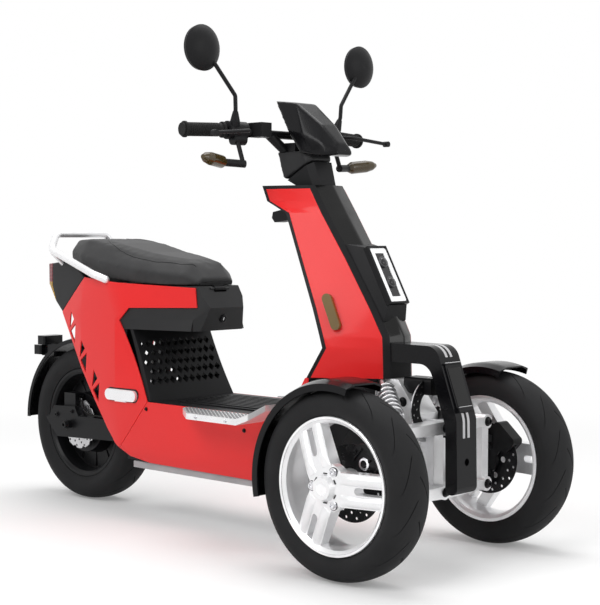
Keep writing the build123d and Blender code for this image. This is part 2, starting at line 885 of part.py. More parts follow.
bar_points = (
    (-514, -334, 1086),
    (-490, -195, 1090),
    (-455, -95, 1082),
    (-455, 95, 1082),
    (-490, 195, 1090),
    (-514, 334, 1086),
)
with BuildPart() as handlebar:
    add(bent_tube(shifted(bar_points), bar_radius, 30))
    for side, hand in SIDES:
        add(rod((ahead(-440), side * 26, 1030), (ahead(-459), side * 84, 1082), 13))
    add(block(ahead(-452), ahead(-404), -40, 40, 1036, 1060))
    add(neck.part, mode=Mode.SUBTRACT)
save(handlebar, "handlebar")

with BuildPart() as grips:
    for side, hand in SIDES:
        tip = Vector(*shifted(bar_points)[-1])
        root = Vector(*shifted(bar_points)[-2])
        along = (tip - root).normalized()
        start = tip - along * (grip_length - grip_cap)
        end = tip + along * grip_cap
        add(rod((start.X, side * start.Y, start.Z), (end.X, side * end.Y, end.Z), grip_radius))
    add(handlebar.part, mode=Mode.SUBTRACT)
save(grips, "grips")

# Switches, master cylinders, levers and indicator brackets
with BuildPart() as controls:
    for side, hand in SIDES:
        add(rod((ahead(-480), side * 152, 1088), (ahead(-489), side * 210, 1089), 24))
        add(rod((ahead(-474), side * 160, 1066), (ahead(-480), side * 198, 1066), 16))
        add(block(ahead(-476), ahead(-426), side * 106, side * 144, 1072, 1110))
        lever = shifted(((-470, side * 175, 1088), (-412, side * 200, 1084), (-402, side * 334, 1072)))
        add(bent_tube(lever, 5, 20))
        with BuildSketch(Plane(origin=(ahead(-402), side * 334, 1072), x_dir=(0, 1, 0), z_dir=(1, 0, 0))):
            Circle(8)
        extrude(amount=8, both=True)
        add(rod((ahead(-474), side * 188, 1070), (ahead(-446), side * 189, 994), 6))
        add(rod((ahead(-447), side * 184, 1000), (ahead(-466), side * 242, 1003), 10))
    add(handlebar.part, mode=Mode.SUBTRACT)
save(controls, "controls")

with BuildPart() as indicators:
    for side, hand in SIDES:
        start = Vector(ahead(-466), side * 242, 1003)
        end = Vector(ahead(-444), side * 338, 1014)
        root = Plane(origin=start, x_dir=(0, 0, 1), z_dir=end - start)
        for reach, radius in ((0, 11), (12, 17), (62, 17), (84, 13), (97, 6)):
            with BuildSketch(root.offset(reach)):
                Circle(radius)
        loft(ruled=True)
    add(controls.part, mode=Mode.SUBTRACT)
save(indicators, "indicators")

# Mirrors: stem with a boot at its foot, round head with a domed back towards the front
mirror_x = -476
mirror_y = 304.5
mirror_z = 1292
with BuildPart() as mirrors:
    for side, hand in SIDES:
        foot = (-472, side * 196, 1100)
        knee = (-461, side * 204, 1142)
        stem = shifted((foot, knee, (-460, side * 206, 1176), (-472, side * 296, 1284)))
        add(bent_tube(stem, 5.5, 12))
        boot = Plane(origin=stem[0], z_dir=Vector(*stem[1]) - Vector(*stem[0]))
        for reach, radius in ((0, 13), (12, 13), (38, 7)):
            with BuildSketch(boot.offset(reach)):
                Circle(radius)
        loft(ruled=True)
        middle = (ahead(mirror_x), side * mirror_y, mirror_z)
        with BuildSketch(Plane(origin=middle, x_dir=(1, 0, 0), z_dir=(0, -1, 0))):
            with BuildLine():
                rim = Polyline((0, mirror_radius), (-mirror_rim, mirror_radius - 2), (-mirror_rim, 0), (mirror_dome, 0))
                ThreePointArc(rim @ 1, (mirror_dome * 0.72, mirror_radius * 0.62), rim @ 0)
            make_face()
        revolve(axis=Axis(middle, (1, 0, 0)))
    add(controls.part, mode=Mode.SUBTRACT)
save(mirrors, "mirrors")

with BuildPart() as mirror_glass:
    for side, hand in SIDES:
        with BuildSketch(Plane(origin=(ahead(mirror_x - mirror_rim), side * mirror_y, mirror_z), x_dir=(0, 0, 1), z_dir=(-1, 0, 0))):
            Circle(mirror_radius - 8)
        extrude(amount=2)
save(mirror_glass, "mirror_glass")

# Cowl over the bar: sections from the rider's face to the nose, each by its foot, its top and half widths
cowl_sections = (
    (-368, 1030, -474, 1174, 60, 63, 44),
    (-330, 1024, -402, 1166, 58, 61, 40),
    (-290, 1021, -322, 1106, 48, 51, 29),
    (-262, 1024, -272, 1054, 28, 30, 16),
)

with BuildPart() as cowl:
    for foot_x, foot_z, top_x, top_z, low_half, mid_half, top_half in cowl_sections:
        tall = ((top_x - foot_x) ** 2 + (top_z - foot_z) ** 2) ** 0.5
        with BuildSketch(slant_plane(foot_x, foot_z, top_x, top_z)):
            Polygon(
                (-low_half, 0),
                (low_half, 0),
                (mid_half, 0.4 * tall),
                (top_half, tall),
                (-top_half, tall),
                (-mid_half, 0.4 * tall),
                align=None,
            )
    loft(ruled=True)
    add(neck.part, mode=Mode.SUBTRACT)
    add(handlebar.part, mode=Mode.SUBTRACT)
save(cowl, "cowl")

with BuildPart() as display:
    with BuildSketch(slant_plane(*cowl_sections[0][:4])):
        Polygon((-46, 66), (46, 66), (38, 166), (-38, 166), align=None)
    extrude(amount=-5)
save(display, "display")

# Floor, tray, battery and foot plates
with BuildPart() as floor:
    underside = floor_z - floor_thickness
    board_outline = ((floor_rear, underside), (floor_front, underside), (floor_front, floor_z), (floor_rear, floor_z))
    add(body_core(board_outline, panel_wall + skin_gap))
    mat_length = ahead(floor_front - 50) - ahead(floor_rear + 50)
    mat_middle = (ahead(floor_front - 50) + ahead(floor_rear + 50)) / 2
    with BuildSketch(Plane.XY.offset(floor_z)):
        with Locations((mat_middle, 0)):
            RectangleRounded(mat_length, 2 * mat_half, 24)
    extrude(amount=mat_rise)
    with BuildSketch(Plane.XY.offset(floor_z + mat_rise)):
        with Locations((mat_middle, 0)):
            with GridLocations(mat_length, mat_pitch, 1, mat_ribs):
                SlotOverall(mat_length - 40, 10)
    extrude(amount=mat_rib)
save(floor, "floor_board")

with BuildPart() as tray:
    add(block(ahead(-960), ahead(floor_front), -132, 132, tray_bottom, tray_top))
save(tray, "under_tray")

with BuildPart() as battery:
    add(block(ahead(-830), ahead(-380), -120, 120, tray_top, floor_z - floor_thickness))
save(battery, "battery")

# Foot plates: rounded outer corners, the front end bent up; station, outer edge and rise of the bend
plate_in = 168
plate_bend = ((-402, 264, 0), (-372, 250, 13), (-345, 214, 36))
with BuildPart() as foot_plates:
    for side, hand in SIDES:
        corners = ((-690, plate_in), (-690, 186), (-590, 264), (-402, 264), (-402, plate_in))
        with BuildSketch(Plane.XY.offset(floor_z - plate_thickness)) as plate:
            Polygon(*shifted([(x, side * y) for x, y in corners]), align=None)
            outer = [corner for corner in plate.vertices() if abs(corner.Y) > plate_in + 1]
            fillet(sorted(outer, key=lambda corner: corner.X)[:2], radius=plate_corner)
        extrude(amount=plate_thickness)
        for station, outer_y, rise in plate_bend:
            height = floor_z - plate_thickness + rise
            with BuildSketch(Plane.YZ.offset(ahead(station))):
                Polygon(
                    (side * plate_in, height),
                    (side * outer_y, height),
                    (side * outer_y, height + plate_thickness),
                    (side * plate_in, height + plate_thickness),
                    align=None,
                )
        loft(ruled=True)
save(foot_plates, "foot_plates")

# Red sills and rear side panels from the body's skin
sill_outline = (
    (-858, 345),
    (-318, 345),
    (-250, 455),
    (-228, 455),
    (-302, 320),
    (-306, 172),
    (-403, 163),
    (-880, 166),
    (-960, 179),
    (-998, 202),
    (-985, 205),
)
rear_outline = (
    (-1185, 690),
    (-1080, 682),
    (-746, 667),
    (-734, 612),
    (-955, 607),
    (-984, 571),
    (-859, 345),
    (-986, 205),
    (-999, 203),
    (-1020, 227),
    (-1044, 251),
    (-1312, 582),
)
with BuildPart() as sills:
    for side, hand in SIDES:
        add(body_skin(side, sill_outline, panel_wall))
save(sills, "sill_panels")

with BuildPart() as rear_sides:
    for side, hand in SIDES:
        add(body_skin(side, rear_outline, panel_wall))
    # Lattice of triangles along the rear edge
    edge_low = Vector(*lattice_low)
    edge_high = Vector(*lattice_high)
    run = edge_high - edge_low
    inward = Vector(run.Y, -run.X).normalized()
    for step in range(lattice_count):
        low = edge_low + run * (step / lattice_count)
        high = edge_low + run * ((step + 1) / lattice_count)
        gap = run.normalized() * lattice_bar
        outer_low = low + gap + inward * lattice_edge
        outer_high = high - gap + inward * lattice_edge
        inner_low = low + gap * 2 + inward * lattice_width
        inner_high = high - gap * 2 + inward * lattice_width
        pair = ((outer_low, outer_high, inner_high), (outer_low + gap * 0.2, inner_high - gap * 1.6, inner_low))
        for corners in pair[step % 2 : step % 2 + 1]:
            with BuildSketch(side_plane()):
                Polygon(*[(ahead(corner.X), corner.Y) for corner in corners], align=None)
            extrude(amount=300, both=True, mode=Mode.SUBTRACT)
save(rear_sides, "rear_side_panels")

# Inner panel behind the rider's legs and the hollow box under the seat
with BuildPart() as inner_panel:
    add(body_core(((-848, 318), (-848, 345), (-940, 546), (-950, 546), (-858, 318)), panel_wall + skin_gap))
    with BuildSketch(Plane.YZ.offset(ahead(-1000))):
        for row in range(grille_rows):
            for column_step in range(grille_columns):
                shift = (row % 2) * grille_pitch_y / 2
                y = (column_step - (grille_columns - 1) / 2) * grille_pitch_y + shift - grille_pitch_y / 4
                with Locations((y, 400 + row * grille_pitch_z)):
                    RegularPolygon(grille_half * 1.3, 4, rotation=90 * (row % 2))
    extrude(amount=300, mode=Mode.SUBTRACT)
save(inner_panel, "inner_panel")

seat_box_plan = ((-1200, -170), (-745, -170), (-745, -95), (-703, -62), (-703, 62), (-745, 95), (-745, 170), (-1200, 170))
seat_box_hollow = ((-1090, 560), (-790, 560), (-790, 700), (-1090, 700))
seat_box_wall = 22
with BuildPart() as seat_box:
    add(
        body_core(
            (
                (-742, seat_rest_z),
                (-706, 611),
                (-728, 546),
                (-1010, 546),
                (-1160, 600),
                (-1160, seat_rest_z),
            ),
            panel_wall + skin_gap,
        )
    )
    with BuildSketch(Plane.XY.offset(500)):
        Polygon(*shifted(seat_box_plan), align=None)
    extrude(amount=300, mode=Mode.INTERSECT)
    add(body_core(seat_box_hollow, seat_box_wall), mode=Mode.SUBTRACT)
    add(block(ahead(-772), ahead(-690), -hinge_notch_half, hinge_notch_half, 655, 700), mode=Mode.SUBTRACT)
    pin_half = hinge_notch_half + 12
    add(rod((ahead(hinge_x), -pin_half, hinge_z), (ahead(hinge_x), pin_half, hinge_z), hinge_pin_radius))
save(seat_box, "seat_box")

# Rear mudguard with its bracket to the seat box, and the number-plate bracket
plate_half = 38
# Cross bars behind the mudguard: back and front from the rear axle, foot and top
plate_bars = ((-244, -204, 466, 494), (-263, -224, 434, 464))
guard_bracket = ((-1112, 430), (-1176, 470), (-1160, 610), (-1120, 600))
plate_bolt_y = 28
plate_bolt_radius = 3
with BuildPart() as rear_guard:
    with BuildSketch(wheel_section(rear_hub, 1, -90)):
        Polygon(
            (rear_overhang - 18, -66),
            (rear_overhang - 6, -66),
            (rear_overhang, -40),
            (rear_overhang, 40),
            (rear_overhang - 6, 66),
            (rear_overhang - 18, 66),
            (rear_overhang - 18, 62),
            (rear_overhang - 9, 62),
            (rear_overhang - 4, 39),
            (rear_overhang - 4, -39),
            (rear_overhang - 9, -62),
            (rear_overhang - 18, -62),
            align=None,
        )
    revolve(axis=rear_axle, revolution_arc=128)
    add(block(rear_axle_x - 240, rear_axle_x - 162, -22, 22, 430, 470))
    for back, front, low, high in plate_bars:
        with BuildSketch(Plane.XY.offset(low)):
            with Locations((rear_axle_x + (back + front) / 2, 0)):
                RectangleRounded(front - back, 2 * plate_half, 8)
        extrude(amount=high - low)
    add(side_prism(shifted(guard_bracket), 20))
    with BuildSketch(Plane.YZ.offset(rear_axle_x - 270)):
        with Locations((-plate_bolt_y, 448), (plate_bolt_y, 448)):
            Circle(plate_bolt_radius)
    extrude(amount=30, mode=Mode.SUBTRACT)
    add(seat_box.part, mode=Mode.SUBTRACT)
save(rear_guard, "mudguard_rear")

# Seat pad and pan: station, foot and top height, half widths at foot, belly and top
seat_stations = (
    (-1302, 750, 778, 84, 86, 60),
    (-1278, 742, 801, 104, 106, 78),
    (-1200, 714, 804, 128, 132, 100),
    (-1080, 692, 787, 136, 143, 108),
    (-950, 678, 761, 130, 138, 100),
    (-850, 676, 747, 116, 123, 80),
    (-788, 674.5, 738, 92, 98, 54),
    (-745, 674.5, 692, 67, 68, 50),
)
with BuildPart() as seat_pan:
    for station, foot, top, foot_half, belly_half, top_half in seat_stations:
        with BuildSketch(Plane.YZ.offset(ahead(station))):
            Polygon(
                (-foot_half + pan_inset, foot - pan_lift),
                (foot_half - pan_inset, foot - pan_lift),
                (foot_half - pan_inset, foot - pan_lift + pan_thickness),
                (-foot_half + pan_inset, foot - pan_lift + pan_thickness),
                align=None,
            )
    loft(ruled=True)
    pan_foot = seat_stations[-1][1]
    add(block(ahead(-768), ahead(hinge_x), -hinge_half, hinge_half, hinge_z - 2, pan_foot))
    add(rod((ahead(hinge_x), -hinge_half, hinge_z), (ahead(hinge_x), hinge_half, hinge_z), hinge_radius))
    bore_half = hinge_half + 5
    add(
        rod((ahead(hinge_x), -bore_half, hinge_z), (ahead(hinge_x), bore_half, hinge_z), hinge_pin_radius + running_gap),
        mode=Mode.SUBTRACT,
    )
save(seat_pan, "seat_pan")

with BuildPart() as seat_pad:
    for station, foot, top, foot_half, belly_half, top_half in seat_stations:
        belly = foot + 0.45 * (top - foot)
        with BuildSketch(Plane.YZ.offset(ahead(station))):
            Polygon(
                (-foot_half, foot),
                (foot_half, foot),
                (belly_half, belly),
                (top_half, top),
                (-top_half, top),
                (-belly_half, belly),
                align=None,
            )
    loft(ruled=True)
    add(seat_pan.part, mode=Mode.SUBTRACT)
save(seat_pad, "seat_pad")

# Tail: cover, lamp and grab rail
tail_outline = ((-1185, 690), (-1312, 582), (-1362, 611), (-1396, 660), (-1404, 728), (-1300, 738), (-1230, 712))
with BuildPart() as tail:
    add(body_core(tail_outline, 0))
    add(rear_sides.part, mode=Mode.SUBTRACT)
save(tail, "tail_cover")

with BuildPart() as tail_lamp:
    add(body_core(((-1362, 611), (-1418, 664), (-1428, 726), (-1404, 728), (-1396, 660)), 0))
save(tail_lamp, "tail_lamp")

rail_points = (
    (-1056, -152, 686),
    (-1100, -164, 701),
    (-1346, -127, 770),
    (-1360, -98, 818),
    (-1360, 98, 818),
    (-1346, 127, 770),
    (-1100, 164, 701),
    (-1056, 152, 686),
)
with BuildPart() as rail:
    add(bent_tube(shifted(rail_points), 11, 28))
    for side, hand in SIDES:
        add(rod((ahead(-1338), side * 130, 763), (ahead(-1338), side * 70, 712), 8))
    add(seat_box.part, mode=Mode.SUBTRACT)
    add(rear_sides.part, mode=Mode.SUBTRACT)
    add(tail.part, mode=Mode.SUBTRACT)
save(rail, "grab_rail")

# Rear frame plates, shock absorber
with BuildPart() as rear_frame:
    for side, hand in SIDES:
        with BuildSketch(side_plane(side * 112)):
            Polygon(*shifted(((-900, tray_top), (-1000, tray_top), (-1010, 270), (-1000, 546), (-952, 546), (-930, 400))), align=None)
        extrude(amount=-side * 8)
save(rear_frame, "rear_frame")

with BuildPart() as rear_shock:
    add(rod((ahead(-1012), 0, 255), (ahead(-1000), 0, 546), 9))
    add(rod((ahead(-1010), 0, 300), (ahead(-1003), 0, 480), 24))
    add(seat_box.part, mode=Mode.SUBTRACT)
    add(swingarm.part, mode=Mode.SUBTRACT)
save(rear_shock, "rear_shock")

# Passenger footrests, flat against the rear panels, each with a hinge barrel along its lower edge
for side, hand in SIDES:
    with BuildPart() as footrest:
        with BuildSketch(side_plane(side * (rest_axis_y - rest_thickness / 2))):
            with Locations((ahead(rest_x), rest_axis_z + rest_half_tall)):
                SlotOverall(2 * rest_half_long, 2 * rest_half_tall)
        extrude(amount=-side * rest_thickness)
        add(
            rod(
                (ahead(rest_x - rest_barrel), side * rest_axis_y, rest_axis_z),
                (ahead(rest_x + rest_barrel), side * rest_axis_y, rest_axis_z),
                rest_barrel_radius,
            )
        )
    save(footrest, f"footrest_{hand}")
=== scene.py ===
"""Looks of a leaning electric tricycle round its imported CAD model. Metres; X forward, Y left, Z up."""
import json
import math

import bmesh
import bpy
from mathutils import Matrix, Vector
from mathutils.bvhtree import BVHTree


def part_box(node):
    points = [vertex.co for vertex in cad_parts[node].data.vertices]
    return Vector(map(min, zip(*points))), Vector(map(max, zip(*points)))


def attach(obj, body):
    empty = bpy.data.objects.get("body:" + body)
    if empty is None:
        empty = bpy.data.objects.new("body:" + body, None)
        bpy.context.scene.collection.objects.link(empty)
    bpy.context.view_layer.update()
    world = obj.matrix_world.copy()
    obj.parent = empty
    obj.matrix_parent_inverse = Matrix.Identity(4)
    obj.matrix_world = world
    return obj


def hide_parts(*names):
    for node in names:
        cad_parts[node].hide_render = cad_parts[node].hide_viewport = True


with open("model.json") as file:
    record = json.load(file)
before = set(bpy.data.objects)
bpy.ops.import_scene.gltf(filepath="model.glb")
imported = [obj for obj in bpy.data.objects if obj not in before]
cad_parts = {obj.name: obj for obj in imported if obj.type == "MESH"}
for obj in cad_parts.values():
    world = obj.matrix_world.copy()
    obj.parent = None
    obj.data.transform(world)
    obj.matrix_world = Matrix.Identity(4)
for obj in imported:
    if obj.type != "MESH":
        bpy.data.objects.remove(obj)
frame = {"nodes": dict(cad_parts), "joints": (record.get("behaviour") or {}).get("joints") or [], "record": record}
scene = bpy.context.scene
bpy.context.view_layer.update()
nodes = frame["nodes"]
joints = {joint["name"]: joint for joint in frame["joints"]}
slot_of = {row["node"]: row["material_slot"] for row in frame["record"]["subparts"]}

AXLE_X = joints["spin_front_left"]["pos_m"][0]
SIDES = {"left": 1, "right": -1}

# Values, section by section. Stations along X are given from the front axle, angles in degrees.
# A section that is turned about an axis is a table of (along, radius).

# Camera of the photograph
IMAGE_HEIGHT = 605
FOCAL_PIXELS = 1460.87
SENSOR = 36.0
CAMERA_PLACE = (2.93248, -2.86088, 0.81932)
CAMERA_TARGET = (0.2442, 0.0, 0.6343)

# Floor, and the studio's level from the near side to the far one and from below to above
FLOOR_HALF = 30.0
FLOOR_TONE = 0.80
FLOOR_ROUGH = 0.9
FLOOR_GLOW = 0.20
FADE_START = 1.25
FADE_END = 3.0
SKY_LEVEL = 0.50
SKY_ACROSS = {"From Min": -0.8, "From Max": 0.4, "To Min": 0.35, "To Max": 1.1}
SKY_UP = {"From Min": -0.1, "From Max": 0.9, "To Min": 0.7, "To Max": 1.25}
# Lamps: name, place, target, size, power
LAMPS = (
    ("key_light", (0.6, -3.8, 3.4), (0.0, 0.0, 0.4), 2.6, 95.0),
    ("top_light", (-0.4, 0.6, 4.0), (0.0, 0.0, 0.3), 3.0, 85.0),
    ("front_light", (4.2, 0.6, 1.8), (0.3, 0.0, 0.5), 2.0, 30.0),
)

# Tones, in pairs where a surface varies between them; a panel's inner side, the tail lamp's change
WHITE = (1.0, 1.0, 1.0, 1.0)
RED = ((0.90, 0.022, 0.023), (0.96, 0.030, 0.030))
TAIL_AMBER = ((0.85, 0.50, 0.06), (0.42, 0.24, 0.02))
TAIL_RED = ((0.30, 0.05, 0.06), (0.17, 0.012, 0.02))
VINYL = ((0.030, 0.030, 0.031), (0.042, 0.042, 0.043))
GUIDE_WHITE = ((0.86, 0.87, 0.88), (0.93, 0.94, 0.95))
INNER_BLACK = (0.010, 0.010, 0.010)
INNER_FACING = -0.015
TAIL_SPLIT = (0.668, 0.672)

# Edge rounding of the CAD nodes; the rest take the common one
COMMON_EDGE = 0.0012
EDGES = {
    0.0015: ("mudguard_front_left", "mudguard_front_right", "mudguard_rear"),
    0.0022: ("front_side_panels", "rear_side_panels", "sill_panels"),
    0.0025: ("rim_front_left", "rim_front_right"),
    0.0035: ("controls", "knuckle_left", "knuckle_right"),
    0.004: (
        "column_shell", "headlamp_housing", "tail_cover", "foot_plates",
        "tilt_linkage", "tilt_caliper", "swingarm",
    ),
    0.005: ("front_casting",),
    0.006: ("seat_box", "tail_lamp", "indicators"),
    0.007: ("nose_beam",),
    0.009: ("front_panel",),
}
# Nodes whose moulded form is rounded all over: voxel and rounds of smoothing
ROUNDED = {"cowl": (0.003, 18), "neck": (0.0035, 6)}
# Segments and least angle of a rounded edge
NODE_BEVEL = (3, 28)
PIECE_BEVEL = (2, 35)
WELD_GAP = 0.00001
# Bolts: sections as shares of the bolt's radius
BOLT_WASHER = ((0.0, 0.0), (0.0, 1.45), (0.22, 1.4), (0.22, 0.0))
BOLT_HEAD = ((0.2, 0.0), (0.2, 1.0), (0.85, 1.0), (1.05, 0.86), (1.05, 0.5), (0.5, 0.46), (0.5, 0.0))
BOLT_SIDES = 18
BOLT_SHARP = 40
# Tubes and domes
TUBE_SIDES = 8
DOME_STEPS = 6
DOME_SIDES = 28

# Tyres: the side wall follows part of a half turn; a groove's wall, width and slant are shares of the pitch
RIM_SEAT_RADIUS = 0.155
RIM_SEAT_HALF = 0.040
RIM_LIP_RADIUS = 0.166
BEAD_RADIUS = RIM_LIP_RADIUS + 0.002
CROWN_RISE = 0.020
CROWN_STEPS = 11
WALL_STEPS = 8
WALL_ARC = (0.12, 0.62)
WALL_FULL = 1.02
TREAD_GROOVES = 14
TREAD_DEPTH = 0.0032
GROOVE_WALL = 0.012
GROOVE_WIDTH = 0.055
GROOVE_SLANT = 1.1
GROOVE_BEND = 1.3
GROOVE_REACH = (0.14, 0.90)
GROOVE_FOOT = 0.030
PLAIN_STEPS = 6
TYRE_SHARP = 38

# Front wheels: double spokes, lip, hub
SPOKE_ANGLES = (90, -30, 210)
SPOKE_ROOT = (0.058, 0.060)
SPOKE_TIP = (0.155, 0.038)
BLADE_RADII = (0.044, 0.154)
BLADE_INNER = 0.0098
BLADE_OUTER = 0.0392
BLADE_CROWN = 0.0075
BLADE_SUNK = 0.003
BLADE_STEPS = 14
BLADE_COLUMNS = 9
BLADE_RISE_END = 0.22
BLADE_FALL_START = 0.75
BLADE_FALL = 0.45
BLADE_ARCH = 0.55
LIP_MIDDLE = (0.0475, RIM_LIP_RADIUS - 0.004)
LIP_HALVES = (0.003, 0.004)
LIP_SIDES = 10
LIP_STEPS = 120
WHEEL_SHARP = 50
HUB_TOP_Y = 0.080
HUB_CAP = (
    (-0.0010, 0.0), (-0.0010, 0.0172), (-0.0002, 0.0170),
    (0.0002, 0.0150), (0.0004, 0.0090), (0.0005, 0.0),
)
HUB_CAP_SIDES = 36
HUB_FACE_Y = 0.0615
HUB_BOLT_ANGLES = (30, 150, 270)
HUB_BOLT_REACH = 0.0445
HUB_BOLT_RADIUS = 0.0078
# Painted shade: black discs round the hub bolts stand for the shade of their recesses, black blocks in the cap for
# the shade in its notches
HUB_RECESS_SHADE = ((0.0, 0.0), (0.0, 0.0125), (0.0014, 0.0122), (0.0014, 0.0))
HUB_RECESS_SHADE_SIDES = 24
NOTCH_SHADES = 6
NOTCH_SHADE_Y = 0.0655
NOTCH_SHADE_REACH = 0.0345
NOTCH_SHADE_SIZE = (0.011, 0.003, 0.0026)

# Nose beam: shoulder as (X, Z, radius), stripes, and the blocks on the raised panel's plane
NOSE_SHOULDER = (0.0404, 0.5022, 0.042)
SHOULDER_END = 19.7
SHOULDER_STEPS = 12
STRIPE_START = 0.008
STRIPE_GAP = 0.0001
STRIPE_PAIRS = ((-0.0155, -0.0065), (0.0030, 0.0120))
STRIPE_RISE = 0.0006
STRIPE_ROOT = -0.001
# Lower stripe: point in the middle plane and its outward normal
LOWER_STRIPE = (
    ((0.1278, 0.3825), (0.9416, 0.3367)),
    ((0.1307, 0.3745), (0.9416, 0.3367)),
    ((0.1322, 0.3680), (0.984, 0.178)),
    ((0.1331, 0.3611), (0.9998, 0.0183)),
    ((0.1339, 0.3215), (0.9998, 0.0183)),
)
PANEL_FOOT = (0.127, 0.388)
PANEL_TOP = (0.086, 0.500)
# Blocks: share of the way up the panel, rise over its plane, size
NOSE_PLATE = ((0.5, 0.003, (0.050, 0.098, 0.003)),)
NOSE_PLATE_EDGE = 0.001
NOSE_BARS = ((1.0, 0.002, (0.064, 0.0045, 0.008)), (0.02, 0.003, (0.058, 0.012, 0.009)))
NOSE_BAR_EDGE = 0.0018
# Painted highlights: thin silver strips along the top edges of the lip and the bar
NOSE_EDGE_HIGHLIGHTS = ((1.018, 0.0045, (0.060, 0.0016, 0.0030)), (0.072, 0.0062, (0.050, 0.0016, 0.0030)))

# Leaning linkage
BOSS_X = 0.070
BOSS_Y = 0.175
BOSS_HEIGHTS = (0.340, 0.180)
BOSS_BOLT = 0.0085
# Bolts on the casting's sides: X, Y, Z, radius
CASTING_BOLTS = ((-0.034, 0.040, 0.400, 0.0085), (-0.012, 0.040, 0.330, 0.0070))
TILT_DISC_Z = 0.386
TILT_EDGE = ((0.0205, 0.0745), (0.0205, 0.0768), (0.0235, 0.0768), (0.0235, 0.0745))
TILT_EDGE_STEPS = 96
SHOCK_TOP = (-0.108, 0.040, 0.461)
SHOCK_FOOT = (0.038, 0.149, 0.351)
SPRING_SPAN = (0.30, 0.82)
SPRING_TURNS = 7
SPRING_STEPS = 18
SPRING_RADIUS = 0.0240
SPRING_WIRE = 0.0034

# Knuckles: nuts on the kingpin, bolts on the inner face, caliper
KINGPIN_Y = 0.235
EAR_HEIGHT = 0.064
KINGPIN_NUT = 0.0095
KNUCKLE_IN_Y = 0.255
KNUCKLE_BOLT_X = 0.020
KNUCKLE_BOLT_Z = 0.034
KNUCKLE_BOLT = 0.0062
CALIPER_LEAN = 42
CALIPER_REACH = 0.080
CALIPER_FACE_Y = 0.294
CALIPER_BOLT_OFF = 0.030
CALIPER_BOLT = 0.0055
CALIPER_RING = ((-0.002, 0.0095), (0.0045, 0.0095), (0.0045, 0.0140), (0.0030, 0.0155), (-0.002, 0.0155))
CALIPER_RING_OFF = 0.008
CALIPER_RING_STEPS = 32
CALIPER_RIB_OFF = 0.018
CALIPER_RIB_SHIFT = -0.004
CALIPER_RIB_LIFT = 0.001
CALIPER_RIB_SIZE = (0.005, 0.006, 0.040)
CALIPER_RIB_EDGE = 0.0012

# Rear end: bolts as X from the rear axle, Y, Z, radius; the cable's points are listed one by one
REAR_AXLE_END = 0.112
REAR_AXLE_NUT = 0.0105
ARM_BOLTS = ((-0.062, 0.098, 0.262, 0.0062), (0.012, 0.098, 0.276, 0.0050))
CABLE_DIAMETER = 0.006
CABLE_POINTS = (
    (-1.292, -0.066, 0.306), (-1.276, -0.068, 0.312), (-1.262, -0.078, 0.296), (-1.240, -0.090, 0.281),
    (-1.205, -0.092, 0.272), (-1.150, -0.091, 0.2705), (-1.095, -0.089, 0.2705), (-1.074, -0.087, 0.262),
)

# Seats of the folded footrests
REST_X = -0.966
REST_Z = 0.357
REST_HALF_LONG = 0.067
REST_HALF_TALL = 0.016
REST_INNER_Y = 0.1683
REST_MARGIN = 0.0035
REST_DEPTH = 0.006
REST_STEPS = 40
REST_EDGE = 0.001

# Ends of the grab rail
RAIL_END = (-1.056, 0.152, 0.686)
RAIL_BEFORE = (-1.100, 0.164, 0.701)
RAIL_RADIUS = 0.011
RAIL_ROOT = 0.002

# Headlamp: lenses and frame
LAMP_FOOT = (-0.082, 0.644)
LAMP_TOP = (-0.158, 0.783)
LENS_OFFSETS = (-0.021, 0.036)
LENS_RISE = 0.0058
LENS_RADIUS = 0.0115
LENS_HEIGHT = 0.006
LENS_SHARP = 50
BEZEL = ((-0.004, 0.0118), (0.0012, 0.0118), (0.0012, 0.0150), (-0.004, 0.0150))
BEZEL_STEPS = 32
LAMP_RING_HALF = 0.0311
LAMP_RING_TALL = 0.0761
LAMP_FRAME_BAR = 0.0065
LAMP_FRAME_RISE = 0.0062
LAMP_FRAME_ROOT = 0.010
LAMP_FRAME_EDGE = 0.0016

# Foot plates: outline with its cut rear corner, ribs, screws
PLATE_TOP = 0.345
PLATE_INNER = 0.173
PLATE_OUTER = 0.2585
PLATE_REAR = -0.682
PLATE_FRONT = -0.408
PLATE_CUT = (-0.690, 0.182)
PLATE_CUT_SLOPE = 0.78
RIB_PITCH = 0.0145
RIB_WIDTH = 0.0052
RIB_HEIGHT = 0.0044
RIB_SLANT = 0.8
RIB_LEAD = 0.11
RIB_SPOTS = 60
RIB_LEAST = 6
RIB_EDGE = 0.0009
PLATE_SCREW_X = (-0.552, -0.440)
PLATE_SCREW_Y = 0.2638
PLATE_SCREW_DROP = 0.008
PLATE_SCREW = 0.0036

# Grips: bands along the rubber and a flange at either end; a band's radius is given over the grip's
GRIP_TIP = (-0.514, 0.334, 1.086)
GRIP_ROOT = (-0.490, 0.195, 1.090)
GRIP_RADIUS = 0.017
GRIP_BANDS = 16
GRIP_BAND_START = 0.012
GRIP_BAND_PITCH = 0.0058
GRIP_BAND = ((-0.0018, -0.001), (-0.0010, 0.0010), (0.0010, 0.0010), (0.0018, -0.001))
GRIP_BAND_STEPS = 28
GRIP_FLANGE = (
    (-0.004, 0.0140), (-0.004, 0.0200), (-0.0025, 0.0212),
    (0.0020, 0.0212), (0.0035, 0.0200), (0.0035, 0.0140),
)
GRIP_FLANGES = (0.0, 0.116)
GRIP_FLANGE_STEPS = 36

# Lock in the seat box, found by a ray from a place in the part's frame, and screws in the red panels
LOCK_RAY = (0.40, -0.006, 0.580)
LOCK_BARREL = (
    (-0.002, 0.0), (-0.002, 0.0125), (0.0030, 0.0120), (0.0042, 0.0105),
    (0.0042, 0.0085), (0.0028, 0.0080), (0.0028, 0.0),
)
LOCK_SIDES = 32
LOCK_SLOT_RISE = 0.0028
LOCK_SLOT = (0.0022, 0.0080, 0.0012)
PANEL_SCREWS = (
    ("sill_panels", -0.862, 0.325),
    ("sill_panels", -0.470, 0.300),
    ("rear_side_panels", -0.760, 0.600),
)
PANEL_SCREW_RAY_Y = 0.5
PANEL_SCREW = 0.0042

